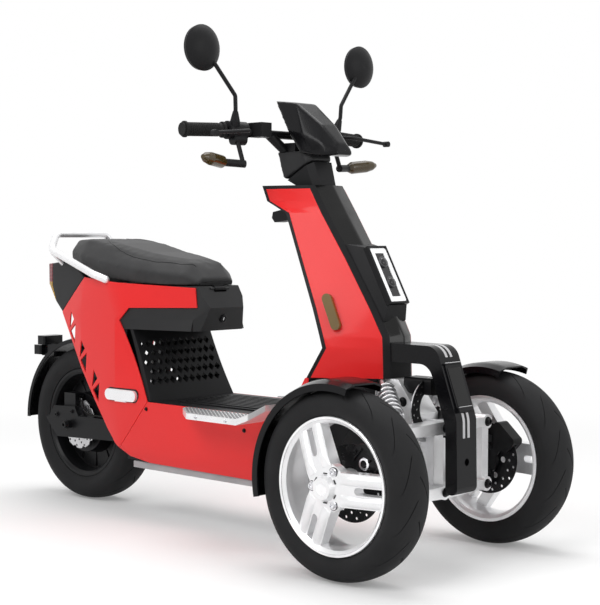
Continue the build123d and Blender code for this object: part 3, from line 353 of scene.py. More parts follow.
# Seat cushion: remesh, corners that face down, held rim, cloth, height of the underside by station
SEAT_VOXEL = 0.006
SEAT_ROUNDS = 6
SEAT_SHRINK = 0.985
SEAT_UNDER = -0.3
SEAT_LIFT = 0.0004
SEAT_HELD = 0.022
SEAT_SWELL = 0.0045
SEAT_FRAMES = 14
SEAT_PRESSURE = 2.0
SEAT_STIFF = 40.0
SEAT_BEND = 12.0
SEAT_QUALITY = 6
SEAT_FOOT = (
    (-1.302, 0.750), (-1.278, 0.742), (-1.200, 0.714), (-1.080, 0.692),
    (-0.950, 0.678), (-0.850, 0.676), (-0.745, 0.6745),
)
# Seam of the seat's top: plan points from the rear to the front, one side
SEAM_PLAN = (
    (-1.180, 0.030), (-1.140, 0.072), (-1.085, 0.102), (-1.010, 0.110),
    (-0.940, 0.106), (-0.860, 0.090), (-0.805, 0.068), (-0.782, 0.048),
)
SEAM_ROUNDS = 3
SEAM_RAY_Z = 1.2
SEAM_RADIUS = 0.0020
SEAM_SUNK = 0.0006


def at(x, y, z, side=1):
    """Place given from the front axle; side -1 puts it on the right."""
    return Vector((AXLE_X + x, side * y, z))


# Materials


def shader(name):
    """New material with its tree and its surface shader."""
    made = bpy.data.materials.new(name)
    made.use_nodes = True
    tree = made.node_tree
    return made, tree, tree.nodes["Principled BSDF"]


def set_sockets(node, values):
    """Sets some of a node's sockets."""
    for key, value in values.items():
        node.inputs[key].default_value = value


def add_node(tree, kind, values):
    """New node with some of its sockets set."""
    made = tree.nodes.new(kind)
    set_sockets(made, values)
    return made


def combine(tree, operation, first, second):
    """Result of an operation on two sources, each a socket or a number."""
    made = tree.nodes.new("ShaderNodeMath")
    made.operation = operation
    for socket, source in zip(made.inputs, (first, second)):
        if isinstance(source, float):
            socket.default_value = source
        else:
            tree.links.new(source, socket)
    return made.outputs[0]


def ranged(tree, source, values):
    """Source socket mapped from one range to another."""
    made = add_node(tree, "ShaderNodeMapRange", values)
    tree.links.new(source, made.inputs["Value"])
    return made


def mixed(tree, share, first, second):
    """Colour between two sources, each a socket or a colour."""
    made = tree.nodes.new("ShaderNodeMix")
    made.data_type = "RGBA"
    for key, source in (("Factor", share), ("A", first), ("B", second)):
        if isinstance(source, tuple):
            made.inputs[key].default_value = (*source, 1.0)
        else:
            tree.links.new(source, made.inputs[key])
    return made.outputs["Result"]


def split(tree, source):
    """X, Y and Z of a vector socket."""
    made = tree.nodes.new("ShaderNodeSeparateXYZ")
    tree.links.new(source, made.inputs["Vector"])
    return made.outputs


def own_place(tree):
    """The object's own coordinates."""
    return tree.nodes.new("ShaderNodeTexCoord").outputs["Object"]


def toned(tree, source, tones, places=(0.3, 0.7)):
    """Colour ramp over a source socket between the two tones of a pair."""
    made = tree.nodes.new("ShaderNodeValToRGB")
    for element, place, tone in zip(made.color_ramp.elements, places, tones):
        element.position = place
        element.color = (*tone, 1.0)
    tree.links.new(source, made.inputs["Fac"])
    return made.outputs["Color"]


def scaled(colour, factor):
    """Colour made darker or lighter, within what a surface can have."""
    return tuple(min(1.0, channel * factor) for channel in colour)


def noise(tree, scale, detail=4.0):
    """Noise over the object's own coordinates."""
    made = add_node(tree, "ShaderNodeTexNoise", {"Scale": scale, "Detail": detail, "Roughness": 0.55})
    tree.links.new(own_place(tree), made.inputs["Vector"])
    return made.outputs["Fac"]


def cells(tree, values):
    """Distance to the middle of the nearest cell, over the object's own coordinates."""
    made = add_node(tree, "ShaderNodeTexVoronoi", values)
    tree.links.new(own_place(tree), made.inputs["Vector"])
    return made.outputs["Distance"]


def spread_rough(tree, bsdf, source, low, high):
    """Roughness between two values by a source socket."""
    made = ranged(tree, source, {"To Min": low, "To Max": high})
    tree.links.new(made.outputs["Result"], bsdf.inputs["Roughness"])


def bump(tree, bsdf, source, strength, depth):
    """Fine relief from a source socket."""
    made = add_node(tree, "ShaderNodeBump", {"Strength": strength, "Distance": depth})
    tree.links.new(source, made.inputs["Height"])
    tree.links.new(made.outputs["Normal"], bsdf.inputs["Normal"])


def surface(name, colour, rough, metal=0.0, coat=0.0, spread=0.10, rough_spread=0.07, grain=700.0,
            relief=0.15, depth=0.0002, blotch=11.0, specular=0.5):
    """Surface with a slight change of tone and gloss and a fine grain."""
    made, tree, bsdf = shader(name)
    tone = toned(tree, noise(tree, blotch), (scaled(colour, 1 - spread), scaled(colour, 1 + spread)))
    tree.links.new(tone, bsdf.inputs["Base Color"])
    fine = noise(tree, grain, detail=2.0)
    spread_rough(tree, bsdf, fine, max(0.02, rough - rough_spread), rough + rough_spread)
    bump(tree, bsdf, fine, relief, depth)
    gloss = {"Specular IOR Level": specular, "Coat Weight": coat, "Coat Roughness": 0.04}
    set_sockets(bsdf, {"Metallic": metal, **gloss})
    return made


def red_paint():
    """Gloss lacquer with a fine flake under a clear coat; the panels' inner faces are bare black plastic."""
    made, tree, bsdf = shader("red_paint")
    tone = toned(tree, noise(tree, 1400.0, detail=1.0), RED)
    facing = split(tree, tree.nodes.new("ShaderNodeNewGeometry").outputs["True Normal"])
    outward = combine(tree, "MULTIPLY", facing["Y"], split(tree, own_place(tree))["Y"])
    inner = combine(tree, "LESS_THAN", outward, INNER_FACING)
    tree.links.new(mixed(tree, inner, tone, INNER_BLACK), bsdf.inputs["Base Color"])
    spread_rough(tree, bsdf, noise(tree, 7.0), 0.30, 0.38)
    bump(tree, bsdf, noise(tree, 260.0, detail=1.0), 0.04, 0.0002)
    set_sockets(bsdf, {"Specular IOR Level": 0.20, "Coat Weight": 0.18, "Coat Roughness": 0.06})
    return made


def tail_glass():
    """Tail lamp: dark red above, amber with rows of dots below."""
    made, tree, bsdf = shader("tail_glass")
    height = split(tree, own_place(tree))["Z"]
    upper = ranged(tree, height, {"From Min": TAIL_SPLIT[0], "From Max": TAIL_SPLIT[1]}).outputs["Result"]
    dots = cells(tree, {"Scale": 85.0, "Randomness": 0.15})
    amber = toned(tree, dots, TAIL_AMBER, (0.22, 0.42))
    red = toned(tree, dots, TAIL_RED, (0.2, 0.5))
    tree.links.new(mixed(tree, upper, amber, red), bsdf.inputs["Base Color"])
    spread_rough(tree, bsdf, noise(tree, 40.0), 0.10, 0.18)
    set_sockets(bsdf, {"Coat Weight": 0.2})
    return made


def vinyl():
    """Seat vinyl with a pebbled grain."""
    made, tree, bsdf = shader("seat_vinyl")
    pebble = cells(tree, {"Scale": 620.0})
    tree.links.new(toned(tree, noise(tree, 9.0), VINYL), bsdf.inputs["Base Color"])
    spread_rough(tree, bsdf, pebble, 0.50, 0.66)
    bump(tree, bsdf, pebble, 0.25, 0.0003)
    set_sockets(bsdf, {"Specular IOR Level": 0.22, "Sheen Weight": 0.08})
    return made


def light_guide():
    """Frosted white ring of the headlamp, faintly lit."""
    made, tree, bsdf = shader("light_guide")
    tree.links.new(toned(tree, noise(tree, 60.0), GUIDE_WHITE), bsdf.inputs["Base Color"])
    spread_rough(tree, bsdf, noise(tree, 300.0), 0.22, 0.32)
    set_sockets(bsdf, {"Emission Color": WHITE, "Emission Strength": 0.25, "Coat Weight": 0.5})
    return made


looks = {
    "tyre": surface("tyre_rubber", (0.024, 0.024, 0.025), 0.66, grain=420.0, relief=0.35, depth=0.0004,
                    specular=0.10),
    "silver": surface("cast_alloy", (0.94, 0.94, 0.95), 0.30, metal=0.50, grain=900.0, spread=0.04),
    "steel": surface("brushed_steel", (0.56, 0.56, 0.57), 0.30, metal=0.95, grain=600.0),
    "black_metal": surface("black_enamel", (0.008, 0.008, 0.009), 0.36, coat=0.02, grain=800.0,
                           specular=0.16),
    "black_plastic": surface("black_plastic", (0.012, 0.012, 0.013), 0.46, grain=900.0, relief=0.30,
                             specular=0.15),
    "gloss_black": surface("gloss_black", (0.005, 0.005, 0.006), 0.20, coat=0.04, grain=300.0, relief=0.03,
                           specular=0.16),
    "red": red_paint(),
    "seat": vinyl(),
    "lamp_white": light_guide(),
    "lens_dark": surface("smoked_lens", (0.010, 0.010, 0.012), 0.08, coat=0.3, grain=200.0, relief=0.02,
                         specular=0.3),
    "amber": surface("smoky_amber", (0.060, 0.040, 0.010), 0.18, coat=0.25, grain=160.0, relief=0.10,
                     specular=0.4),
    "tail_red": tail_glass(),
    "mirror": surface("mirror_glass", (0.82, 0.83, 0.84), 0.04, metal=1.0, rough_spread=0.02, relief=0.0),
    "rubber": surface("grip_rubber", (0.016, 0.016, 0.016), 0.66, grain=500.0, relief=0.35, specular=0.15),
    "grey_metal": surface("grey_enamel", (0.42, 0.42, 0.43), 0.42, grain=500.0),
}
polish = surface("polished_alloy", (0.90, 0.90, 0.91), 0.12, metal=1.0, grain=500.0, rough_spread=0.04,
                 relief=0.03)
chrome = surface("bright_zinc", (0.70, 0.70, 0.72), 0.22, metal=1.0, grain=800.0)
stripe_paint = surface("silver_stripe", (0.55, 0.55, 0.56), 0.34, metal=0.3, coat=0.3, grain=900.0)
bolt_black = surface("black_oxide", (0.012, 0.012, 0.013), 0.34, metal=0.2, grain=700.0, specular=0.2)
deep_gloss = surface("deep_gloss", (0.004, 0.004, 0.004), 0.16, coat=0.12, grain=300.0, relief=0.02,
                     specular=0.2)
bezel_grey = surface("bezel_grey", (0.10, 0.10, 0.105), 0.30, metal=0.5, grain=700.0)
satin_black = surface("satin_black", (0.022, 0.022, 0.023), 0.42, grain=900.0, relief=0.25, specular=0.22)
reflector_amber = surface("reflector_amber", (0.17, 0.105, 0.024), 0.24, coat=0.3, grain=900.0, relief=0.25)
rib_grey = surface("rib_grey", (0.30, 0.30, 0.31), 0.42, metal=0.4, grain=700.0)

# Nodes that look different from the rest of their slot
OWN_LOOKS = {
    "neck": satin_black,
    "seat_box": satin_black,
    "side_reflectors": reflector_amber,
    "front_panel": deep_gloss,
}


# CAD nodes


def round_off(obj, voxel, rounds):
    """Gives an object the soft form of a moulding."""
    obj.data.shade_smooth()
    remesh = obj.modifiers.new("remesh", "REMESH")
    remesh.mode = "VOXEL"
    remesh.voxel_size = voxel
    remesh.use_smooth_shade = True
    smooth = obj.modifiers.new("smooth", "SMOOTH")
    smooth.factor = 0.5
    smooth.iterations = rounds


def round_edges(obj, width, segments, angle):
    """Rounds an object's sharp edges and evens its shading."""
    edge = obj.modifiers.new("edge", "BEVEL")
    edge.width = width
    edge.segments = segments
    edge.limit_method = "ANGLE"
    edge.angle_limit = math.radians(angle)
    even = obj.modifiers.new("even", "WEIGHTED_NORMAL")
    even.weight = 60


edge_of = {name: width for width, names in EDGES.items() for name in names}
for name, obj in nodes.items():
    obj.data.materials.clear()
    obj.data.materials.append(OWN_LOOKS.get(name, looks[slot_of[name]]))
    if name in ROUNDED:
        round_off(obj, *ROUNDED[name])
    else:
        obj.data.shade_smooth()
        weld = obj.modifiers.new("weld", "WELD")
        weld.merge_threshold = WELD_GAP
        round_edges(obj, edge_of.get(name, COMMON_EDGE), *NODE_BEVEL)


# Pieces


def piece(name, shape, body, look, smooth=True, sharp=None, edge=None):
    """Object from a bmesh that rides on a body; sharp is an angle in degrees, edge a width to round."""
    bmesh.ops.recalc_face_normals(shape, faces=shape.faces)
    mesh = bpy.data.meshes.new(name)
    shape.to_mesh(mesh)
    shape.free()
    obj = bpy.data.objects.new(name, mesh)
    scene.collection.objects.link(obj)
    mesh.materials.append(look)
    if smooth:
        mesh.shade_smooth()
    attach(obj, body)
    if sharp:
        mesh.set_sharp_from_angle(angle=math.radians(sharp))
    if edge:
        round_edges(obj, edge, *PIECE_BEVEL)
    return obj


def join(shape, rings, closed):
    """Faces between rings of corners; a run that doesn't close on itself gets its two ends filled."""
    followers = rings[1:] + rings[:1] if closed else rings[1:]
    for here, there in zip(rings, followers):
        for step in range(len(here)):
            after = (step + 1) % len(here)
            shape.faces.new((here[step], here[after], there[after], there[step]))
    if not closed:
        shape.faces.new(rings[0])
        shape.faces.new(list(reversed(rings[-1])))


def stand(point, axis):
    """Place at a point whose local Z runs along an axis."""
    direction = Vector(axis).normalized()
    return Matrix.Translation(point) @ direction.to_track_quat("Z", "Y").to_matrix().to_4x4()


def add_ring(shape, profile, place, segments):
    """Closed section turned about a place's Z."""
    rings = []
    for step in range(segments):
        turn = 2 * math.pi * step / segments
        across = math.cos(turn)
        up = math.sin(turn)
        rows = [Vector((radius * across, radius * up, along)) for along, radius in profile]
        rings.append([shape.verts.new(place @ row) for row in rows])
    join(shape, rings, closed=True)


def add_knob(shape, profile, place, segments):
    """Section that starts and ends on the axis, turned about a place's Z."""
    rings = []
    for along, radius in profile:
        steps = segments if radius else 1
        ring = []
        for step in range(steps):
            turn = 2 * math.pi * step / segments
            spot = Vector((radius * math.cos(turn), radius * math.sin(turn), along))
            ring.append(shape.verts.new(place @ spot))
        rings.append(ring)
    for lower, upper in zip(rings, rings[1:]):
        for step in range(segments):
            after = (step + 1) % segments
            if len(lower) == 1:
                shape.faces.new((lower[0], upper[after], upper[step]))
            elif len(upper) == 1:
                shape.faces.new((lower[step], lower[after], upper[0]))
            else:
                shape.faces.new((lower[step], lower[after], upper[after], upper[step]))


def dome(radius, height, root=0.0):
    """Section of a dome, with a straight root below it if it has one."""
    rows = [(-root, 0.0), (-root, radius)]
    for step in range(0 if root else 1, DOME_STEPS):
        turn = math.radians(90 * step / DOME_STEPS)
        rows.append((height * math.sin(turn), radius * math.cos(turn)))
    return rows + [(height, 0.0)]


def add_bolt(shape, point, axis, radius):
    """Socket-head bolt with a washer, seated at a point."""
    place = stand(point, axis)
    for section in (BOLT_WASHER, BOLT_HEAD):
        add_knob(shape, [(radius * along, radius * reach) for along, reach in section], place, BOLT_SIDES)


def bolts(name, rows, body, look):
    """One piece with a bolt at every (point, axis, radius)."""
    shape = bmesh.new()
    for point, axis, radius in rows:
        add_bolt(shape, point, axis, radius)
    piece(name, shape, body, look, sharp=BOLT_SHARP)


def add_tube(shape, points, radius):
    """Round tube along points, with its ends closed."""
    rings = []
    normal = None
    for index, point in enumerate(points):
        before = points[max(0, index - 1)]
        after = points[min(len(points) - 1, index + 1)]
        along = (after - before).normalized()
        if normal is None:
            normal = along.orthogonal().normalized()
        normal = (normal - along * normal.dot(along)).normalized()
        other = along.cross(normal)
        ring = []
        for step in range(TUBE_SIDES):
            turn = 2 * math.pi * step / TUBE_SIDES
            ring.append(shape.verts.new(point + radius * (math.cos(turn) * normal + math.sin(turn) * other)))
        rings.append(ring)
    join(shape, rings, closed=False)


def add_block(shape, place, size):
    """Box of a size, centred on a place."""
    made = bmesh.ops.create_cube(shape, size=1.0)
    bmesh.ops.transform(shape, matrix=place @ Matrix.Diagonal((*size, 1.0)), verts=made["verts"])


def faces_of(mesh):
    """Search tree over a mesh's faces, in the part's frame."""
    mesh.calc_loop_triangles()
    corners = [vertex.co.copy() for vertex in mesh.vertices]
    return BVHTree.FromPolygons(corners, [tuple(face.vertices) for face in mesh.loop_triangles])


def struck(faces, start, direction):
    """Point and normal where a ray meets a mesh; both are None if it passes by."""
    return faces.ray_cast(start, Vector(direction))[:2]


def hub_of(wheel):
    """Middle of a wheel."""
    return Vector(joints[f"spin_{wheel}"]["pos_m"])


# Tyres with a cut tread


def tyre_section(radius, half):
    """Half section from the bead to the crown, as (lateral, radius)."""
    shoulder = radius - CROWN_RISE
    rows = []
    for step in range(WALL_STEPS + 1):
        share = step / WALL_STEPS
        swell = math.sin(math.pi * (WALL_ARC[0] + WALL_ARC[1] * share))
        lateral = RIM_SEAT_HALF + (half - RIM_SEAT_HALF) * min(1.0, swell * WALL_FULL)
        rows.append((lateral, BEAD_RADIUS + (shoulder - BEAD_RADIUS) * share))
    edge = rows[-1][0]
    for step in range(1, CROWN_STEPS + 1):
        lateral = edge * (1 - step / CROWN_STEPS)
        height = math.sqrt(max(0.0, 1 - (lateral / edge) ** 2))
        rows.append((lateral, shoulder + (radius - shoulder) * height))
    return rows


def tread_columns(pitch):
    """Angles within one pitch: four lines to each groove, plain lines between."""
    wall = GROOVE_WALL * pitch
    width = GROOVE_WIDTH * pitch
    groove = [0.0, wall, width - wall, width]
    plain = [width + (0.5 * pitch - width) * step / PLAIN_STEPS for step in range(1, PLAIN_STEPS)]
    half = groove + plain
    return half + [0.5 * pitch + angle for angle in half]


def tyre(name, node, hub, body):
    """Tyre with slanted grooves, its left and right side half a pitch apart."""
    low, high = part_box(node)
    radius = (high.z - low.z) / 2
    half = (high.y - low.y) / 2
    rows = tyre_section(radius, half)
    section = rows + [(-lateral, reach) for lateral, reach in reversed(rows[:-1])]
    seat = (
        (-RIM_SEAT_HALF, BEAD_RADIUS),
        (-RIM_SEAT_HALF, RIM_SEAT_RADIUS),
        (RIM_SEAT_HALF, RIM_SEAT_RADIUS),
        (RIM_SEAT_HALF, BEAD_RADIUS),
    )
    pitch = 2 * math.pi / TREAD_GROOVES
    columns = tread_columns(pitch)
    shape = bmesh.new()
    lines = []
    for groove in range(TREAD_GROOVES):
        for index, angle in enumerate(columns):
            start = groove * pitch + angle
            spots = []
            for row, (lateral, reach) in enumerate(section):
                across = abs(lateral) / half
                first = 0 if row < len(rows) else len(columns) // 2
                in_groove = index in (first + 1, first + 2) and reach > radius - GROOVE_FOOT
                if in_groove and GROOVE_REACH[0] < across < GROOVE_REACH[1]:
                    reach -= TREAD_DEPTH
                spots.append((start + GROOVE_SLANT * pitch * across ** GROOVE_BEND, lateral, reach))
            spots += [(start, lateral, reach) for lateral, reach in seat]
            line = []
            for turn, lateral, reach in spots:
                x = hub.x + reach * math.sin(turn)
                z = hub.z + reach * math.cos(turn)
                line.append(shape.verts.new((x, hub.y + lateral, z)))
            lines.append(line)
    join(shape, lines, closed=True)
    obj = piece(name, shape, body, looks["tyre"], sharp=TYRE_SHARP)
    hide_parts(node)


for hand in SIDES:
    tyre(f"treaded_tyre_{hand}", f"tyre_front_{hand}", hub_of(f"front_{hand}"), f"wheel_front_{hand}")
tyre("treaded_tyre_rear", "tyre_rear", hub_of("rear"), "wheel_rear")


# Front wheels: rounded blades on the double spokes, polished lip and hub cap, bolts; painted shade as black discs
# in the bolts' recesses and black blocks in the cap's notches


def spoke_face(radius):
    """Height of a spoke's outer face over the wheel's middle plane."""
    share = (radius - SPOKE_ROOT[0]) / (SPOKE_TIP[0] - SPOKE_ROOT[0])
    return SPOKE_ROOT[1] + (SPOKE_TIP[1] - SPOKE_ROOT[1]) * share


def add_blade(shape, hub, side, angle, flank):
    """Rounded blade along one half of a double spoke, its edges sunk into the solid below."""
    turn = math.radians(angle)
    out = Vector((math.sin(turn), 0, math.cos(turn)))
    across = Vector((math.cos(turn), 0, -math.sin(turn))) * flank
    face = Vector((0, side, 0))
    rings = []
    for step in range(BLADE_STEPS + 1):
        share = step / BLADE_STEPS
        radius = BLADE_RADII[0] + (BLADE_RADII[1] - BLADE_RADII[0]) * share
        fall = max(0.0, share - BLADE_FALL_START) / (1 - BLADE_FALL_START)
        swell = min(1.0, share / BLADE_RISE_END) * (1.0 - BLADE_FALL * fall)
        ring = []
        for column in range(BLADE_COLUMNS + 1):
            spot = column / BLADE_COLUMNS
            lateral = BLADE_INNER + (BLADE_OUTER - BLADE_INNER) * spot
            arch = math.sin(math.pi * spot) ** BLADE_ARCH
            height = spoke_face(radius) - BLADE_SUNK + (BLADE_CROWN * swell + BLADE_SUNK) * arch
            ring.append(shape.verts.new(hub + out * radius + across * lateral + face * height))
        rings.append(ring)
    join(shape, rings, closed=False)


for hand, side in SIDES.items():
    hub = hub_of(f"front_{hand}")
    wheel = f"wheel_front_{hand}"
    outward = (0, side, 0)
    shape = bmesh.new()
    for angle in SPOKE_ANGLES:
        for flank in (1, -1):
            add_blade(shape, hub, side, angle, flank)
    piece(f"spoke_blades_{hand}", shape, wheel, looks["silver"], sharp=WHEEL_SHARP)

    shape = bmesh.new()
    bead = []
    for step in range(LIP_SIDES):
        turn = 2 * math.pi * step / LIP_SIDES
        along = LIP_MIDDLE[0] + LIP_HALVES[0] * math.sin(turn)
        bead.append((along, LIP_MIDDLE[1] + LIP_HALVES[1] * math.cos(turn)))
    add_ring(shape, bead, stand(hub, outward), LIP_STEPS)
    cap = [(HUB_TOP_Y + rise, radius) for rise, radius in HUB_CAP]
    add_knob(shape, cap, stand(hub, outward), HUB_CAP_SIDES)
    piece(f"polished_lip_{hand}", shape, wheel, polish, sharp=WHEEL_SHARP)

    # Black discs round the bolts and black blocks in the cap's notches are painted shade of the recesses and the
    # notches
    shape = bmesh.new()
    rows = []
    for angle in HUB_BOLT_ANGLES:
        turn = math.radians(angle)
        out = Vector((HUB_BOLT_REACH * math.sin(turn), side * HUB_FACE_Y, HUB_BOLT_REACH * math.cos(turn)))
        rows.append((hub + out, outward, HUB_BOLT_RADIUS))
        add_knob(shape, HUB_RECESS_SHADE, stand(hub + out, outward), HUB_RECESS_SHADE_SIDES)
    for step in range(NOTCH_SHADES):
        around = Matrix.Rotation(math.radians(360 * step / NOTCH_SHADES), 4, "Y")
        notch = Matrix.Translation((0, side * NOTCH_SHADE_Y, NOTCH_SHADE_REACH))
        add_block(shape, Matrix.Translation(hub) @ around @ notch, NOTCH_SHADE_SIZE)
    piece(f"hub_recess_shade_{hand}", shape, wheel, bolt_black, smooth=False)
    bolts(f"hub_bolts_{hand}", rows, wheel, chrome)


# Nose beam: twin stripes, plate in the raised panel with a lip above and a bar below, and painted highlights as
# thin silver strips along the top edges of the lip and the bar


def add_ribbon(shape, rows, left, right):
    """Thin closed strip between two widths along (point, normal) rows in the middle plane."""
    rings = []
    for (x, z), (along_x, along_z) in rows:
        ring = []
        for rise, y in ((STRIPE_ROOT, left), (STRIPE_RISE, left), (STRIPE_RISE, right), (STRIPE_ROOT, right)):
            ring.append(shape.verts.new((AXLE_X + x + along_x * rise, y, z + along_z * rise)))
        rings.append(ring)
    join(shape, rings, closed=False)


shoulder_x, shoulder_z, shoulder_radius = NOSE_SHOULDER
upper_stripe = [((STRIPE_START, shoulder_z + shoulder_radius + STRIPE_GAP), (0, 1))]
for step in range(SHOULDER_STEPS + 1):
    turn = math.radians(90 + (SHOULDER_END - 90) * step / SHOULDER_STEPS)
    normal = (math.cos(turn), math.sin(turn))
    point = (shoulder_x + shoulder_radius * normal[0], shoulder_z + shoulder_radius * normal[1])
    upper_stripe.append((point, normal))
shape = bmesh.new()
for stripe in (upper_stripe, LOWER_STRIPE):
    for left, right in STRIPE_PAIRS:
        add_ribbon(shape, stripe, left, right)
piece("nose_stripes", shape, "chassis", stripe_paint, smooth=False)

panel_foot = at(PANEL_FOOT[0], 0, PANEL_FOOT[1])
panel_run = Vector((PANEL_TOP[0] - PANEL_FOOT[0], 0, PANEL_TOP[1] - PANEL_FOOT[1]))


def plane_up(up):
    """Outward normal of a plane that is level from side to side and runs up a line, and its turn."""
    out = Vector((up.z, 0, -up.x))
    return out, Matrix((Vector((0, 1, 0)), up, out)).transposed().to_4x4()


panel_out, panel_turn = plane_up(panel_run.normalized())
for name, blocks, look, slot, edge in (
    ("nose_plate", NOSE_PLATE, deep_gloss, "gloss_black", NOSE_PLATE_EDGE),
    ("nose_bars", NOSE_BARS, looks["black_metal"], "black_metal", NOSE_BAR_EDGE),
    # Thin silver strips on the bars' top edges are painted highlights
    ("nose_edges", NOSE_EDGE_HIGHLIGHTS, stripe_paint, "silver", None),
):
    shape = bmesh.new()
    for share, rise, size in blocks:
        middle = Matrix.Translation(panel_foot + panel_run * share + panel_out * rise)
        add_block(shape, middle @ panel_turn, size)
    piece(name, shape, "chassis", look, smooth=False, edge=edge)


# Leaning linkage: bolts on the bosses and the casting, bright edge of the tilt disc, springs

rows = []
for height in BOSS_HEIGHTS:
    for y in (-BOSS_Y, 0.0, BOSS_Y):
        rows.append((at(BOSS_X, y, height), (1, 0, 0), BOSS_BOLT))
for side in SIDES.values():
    for x, y, z, radius in CASTING_BOLTS:
        rows.append((at(x, y, z, side), (0, side, 0), radius))
bolts("linkage_bolts", rows, "chassis", bolt_black)

shape = bmesh.new()
add_ring(shape, TILT_EDGE, stand((AXLE_X, 0, TILT_DISC_Z), (1, 0, 0)), TILT_EDGE_STEPS)
piece("tilt_disc_edge", shape, "chassis", chrome, smooth=False)

shape = bmesh.new()
for side in SIDES.values():
    top = at(*SHOCK_TOP, side)
    run = at(*SHOCK_FOOT, side) - top
    across = run.orthogonal().normalized()
    other = run.normalized().cross(across)
    coil = []
    steps = SPRING_TURNS * SPRING_STEPS
    for step in range(steps + 1):
        turn = 2 * math.pi * step / SPRING_STEPS
        share = SPRING_SPAN[0] + (SPRING_SPAN[1] - SPRING_SPAN[0]) * step / steps
        coil.append(top + run * share + SPRING_RADIUS * (math.cos(turn) * across + math.sin(turn) * other))
    add_tube(shape, coil, SPRING_WIRE)
piece("shock_springs", shape, "chassis", looks["steel"])


# Knuckles: kingpin nuts, bolts on the inner face, caliper with its bolts, ring and ribs

for hand, side in SIDES.items():
    hub = hub_of(f"front_{hand}")
    knuckle = f"knuckle_{hand}"
    lean = math.radians(CALIPER_LEAN)
    out = Vector((math.sin(lean), 0, math.cos(lean)))
    along = Vector((math.cos(lean), 0, -math.sin(lean)))
    middle = Vector((hub.x, side * CALIPER_FACE_Y, hub.z)) + out * CALIPER_REACH
    outward = (0, side, 0)
    inward = (0, -side, 0)
    rows = []
    ribs = bmesh.new()
    for turn in (1, -1):
        rows.append(((hub.x, side * KINGPIN_Y, hub.z + turn * EAR_HEIGHT), (0, 0, turn), KINGPIN_NUT))
        rows.append((middle + along * (turn * CALIPER_BOLT_OFF), outward, CALIPER_BOLT))
        for lift in (1, -1):
            spot = (hub.x + turn * KNUCKLE_BOLT_X, side * KNUCKLE_IN_Y, hub.z + lift * KNUCKLE_BOLT_Z)
            rows.append((spot, inward, KNUCKLE_BOLT))
        rib = middle + along * (turn * CALIPER_RIB_OFF + CALIPER_RIB_SHIFT)
        place = Matrix.Translation(rib + Vector((0, side * CALIPER_RIB_LIFT, 0)))
        add_block(ribs, place @ Matrix.Rotation(lean, 4, "Y"), CALIPER_RIB_SIZE)
    bolts(f"knuckle_bolts_{hand}", rows, knuckle, bolt_black)
    shape = bmesh.new()
    add_ring(shape, CALIPER_RING, stand(middle + along * CALIPER_RING_OFF, outward), CALIPER_RING_STEPS)
    piece(f"caliper_ring_{hand}", shape, knuckle, chrome, sharp=BOLT_SHARP)
    name = f"caliper_ribs_{hand}"
    piece(name, ribs, knuckle, looks["black_metal"], smooth=False, edge=CALIPER_RIB_EDGE)


# Rear end: axle nuts, swingarm bolts, cable from the caliper along the swingarm

rear_hub = hub_of("rear")
rows = []
for side in SIDES.values():
    rows.append(((rear_hub.x, side * REAR_AXLE_END, rear_hub.z), (0, side, 0), REAR_AXLE_NUT))
    for x, y, z, radius in ARM_BOLTS:
        rows.append(((rear_hub.x + x, side * y, z), (0, side, 0), radius))
bolts("swingarm_bolts", rows, "chassis", bolt_black)

cable_data = bpy.data.curves.new("rear_brake_cable", "CURVE")
cable_data.dimensions = "3D"
cable_data.bevel_depth = CABLE_DIAMETER / 2
cable_data.bevel_resolution = 4
cable_data.use_fill_caps = True
cable_data.materials.append(looks["rubber"])
cable_line = cable_data.splines.new("NURBS")
cable_line.points.add(len(CABLE_POINTS) - 1)
for spot, (x, y, z) in zip(cable_line.points, CABLE_POINTS):
    spot.co = (AXLE_X + x, y, z, 1.0)
cable_line.order_u = 3
cable_line.use_endpoint_u = True
cable_line.resolution_u = 12
cable = bpy.data.objects.new("rear_brake_cable", cable_data)
scene.collection.objects.link(cable)
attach(cable, "chassis")


# Footrests: dark seat round each folded footrest

shape = bmesh.new()
for side in SIDES.values():
    radius = REST_HALF_TALL + REST_MARGIN
    reach = REST_HALF_LONG - REST_HALF_TALL
    rim = []
    for step in range(REST_STEPS):
        turn = 2 * math.pi * (step + 0.5) / REST_STEPS
        shift = reach if math.cos(turn) > 0 else -reach
        rim.append((AXLE_X + REST_X + shift + radius * math.cos(turn), REST_Z + radius * math.sin(turn)))
    front = [shape.verts.new((x, side * REST_INNER_Y, z)) for x, z in rim]
    back = [shape.verts.new((x, side * (REST_INNER_Y - REST_DEPTH), z)) for x, z in rim]
    join(shape, [front, back], closed=False)
piece("footrest_seats", shape, "chassis", bolt_black, smooth=False, edge=REST_EDGE)


# Grab rail: rounded ends where it meets the red panels

shape = bmesh.new()
for side in SIDES.values():
    end = at(*RAIL_END, side)
    before = at(*RAIL_BEFORE, side)
    add_knob(shape, dome(RAIL_RADIUS, RAIL_RADIUS, RAIL_ROOT), stand(end, end - before), DOME_SIDES)
piece("rail_ends", shape, "chassis", looks["silver"])


# Headlamp: dark frame round the light ring, dome and bezel of each lens

lamp_up = Vector((LAMP_TOP[0] - LAMP_FOOT[0], 0, LAMP_TOP[1] - LAMP_FOOT[1])).normalized()
lamp_out, lamp_turn = plane_up(lamp_up)
lamp_middle = at((LAMP_FOOT[0] + LAMP_TOP[0]) / 2, 0, (LAMP_FOOT[1] + LAMP_TOP[1]) / 2)

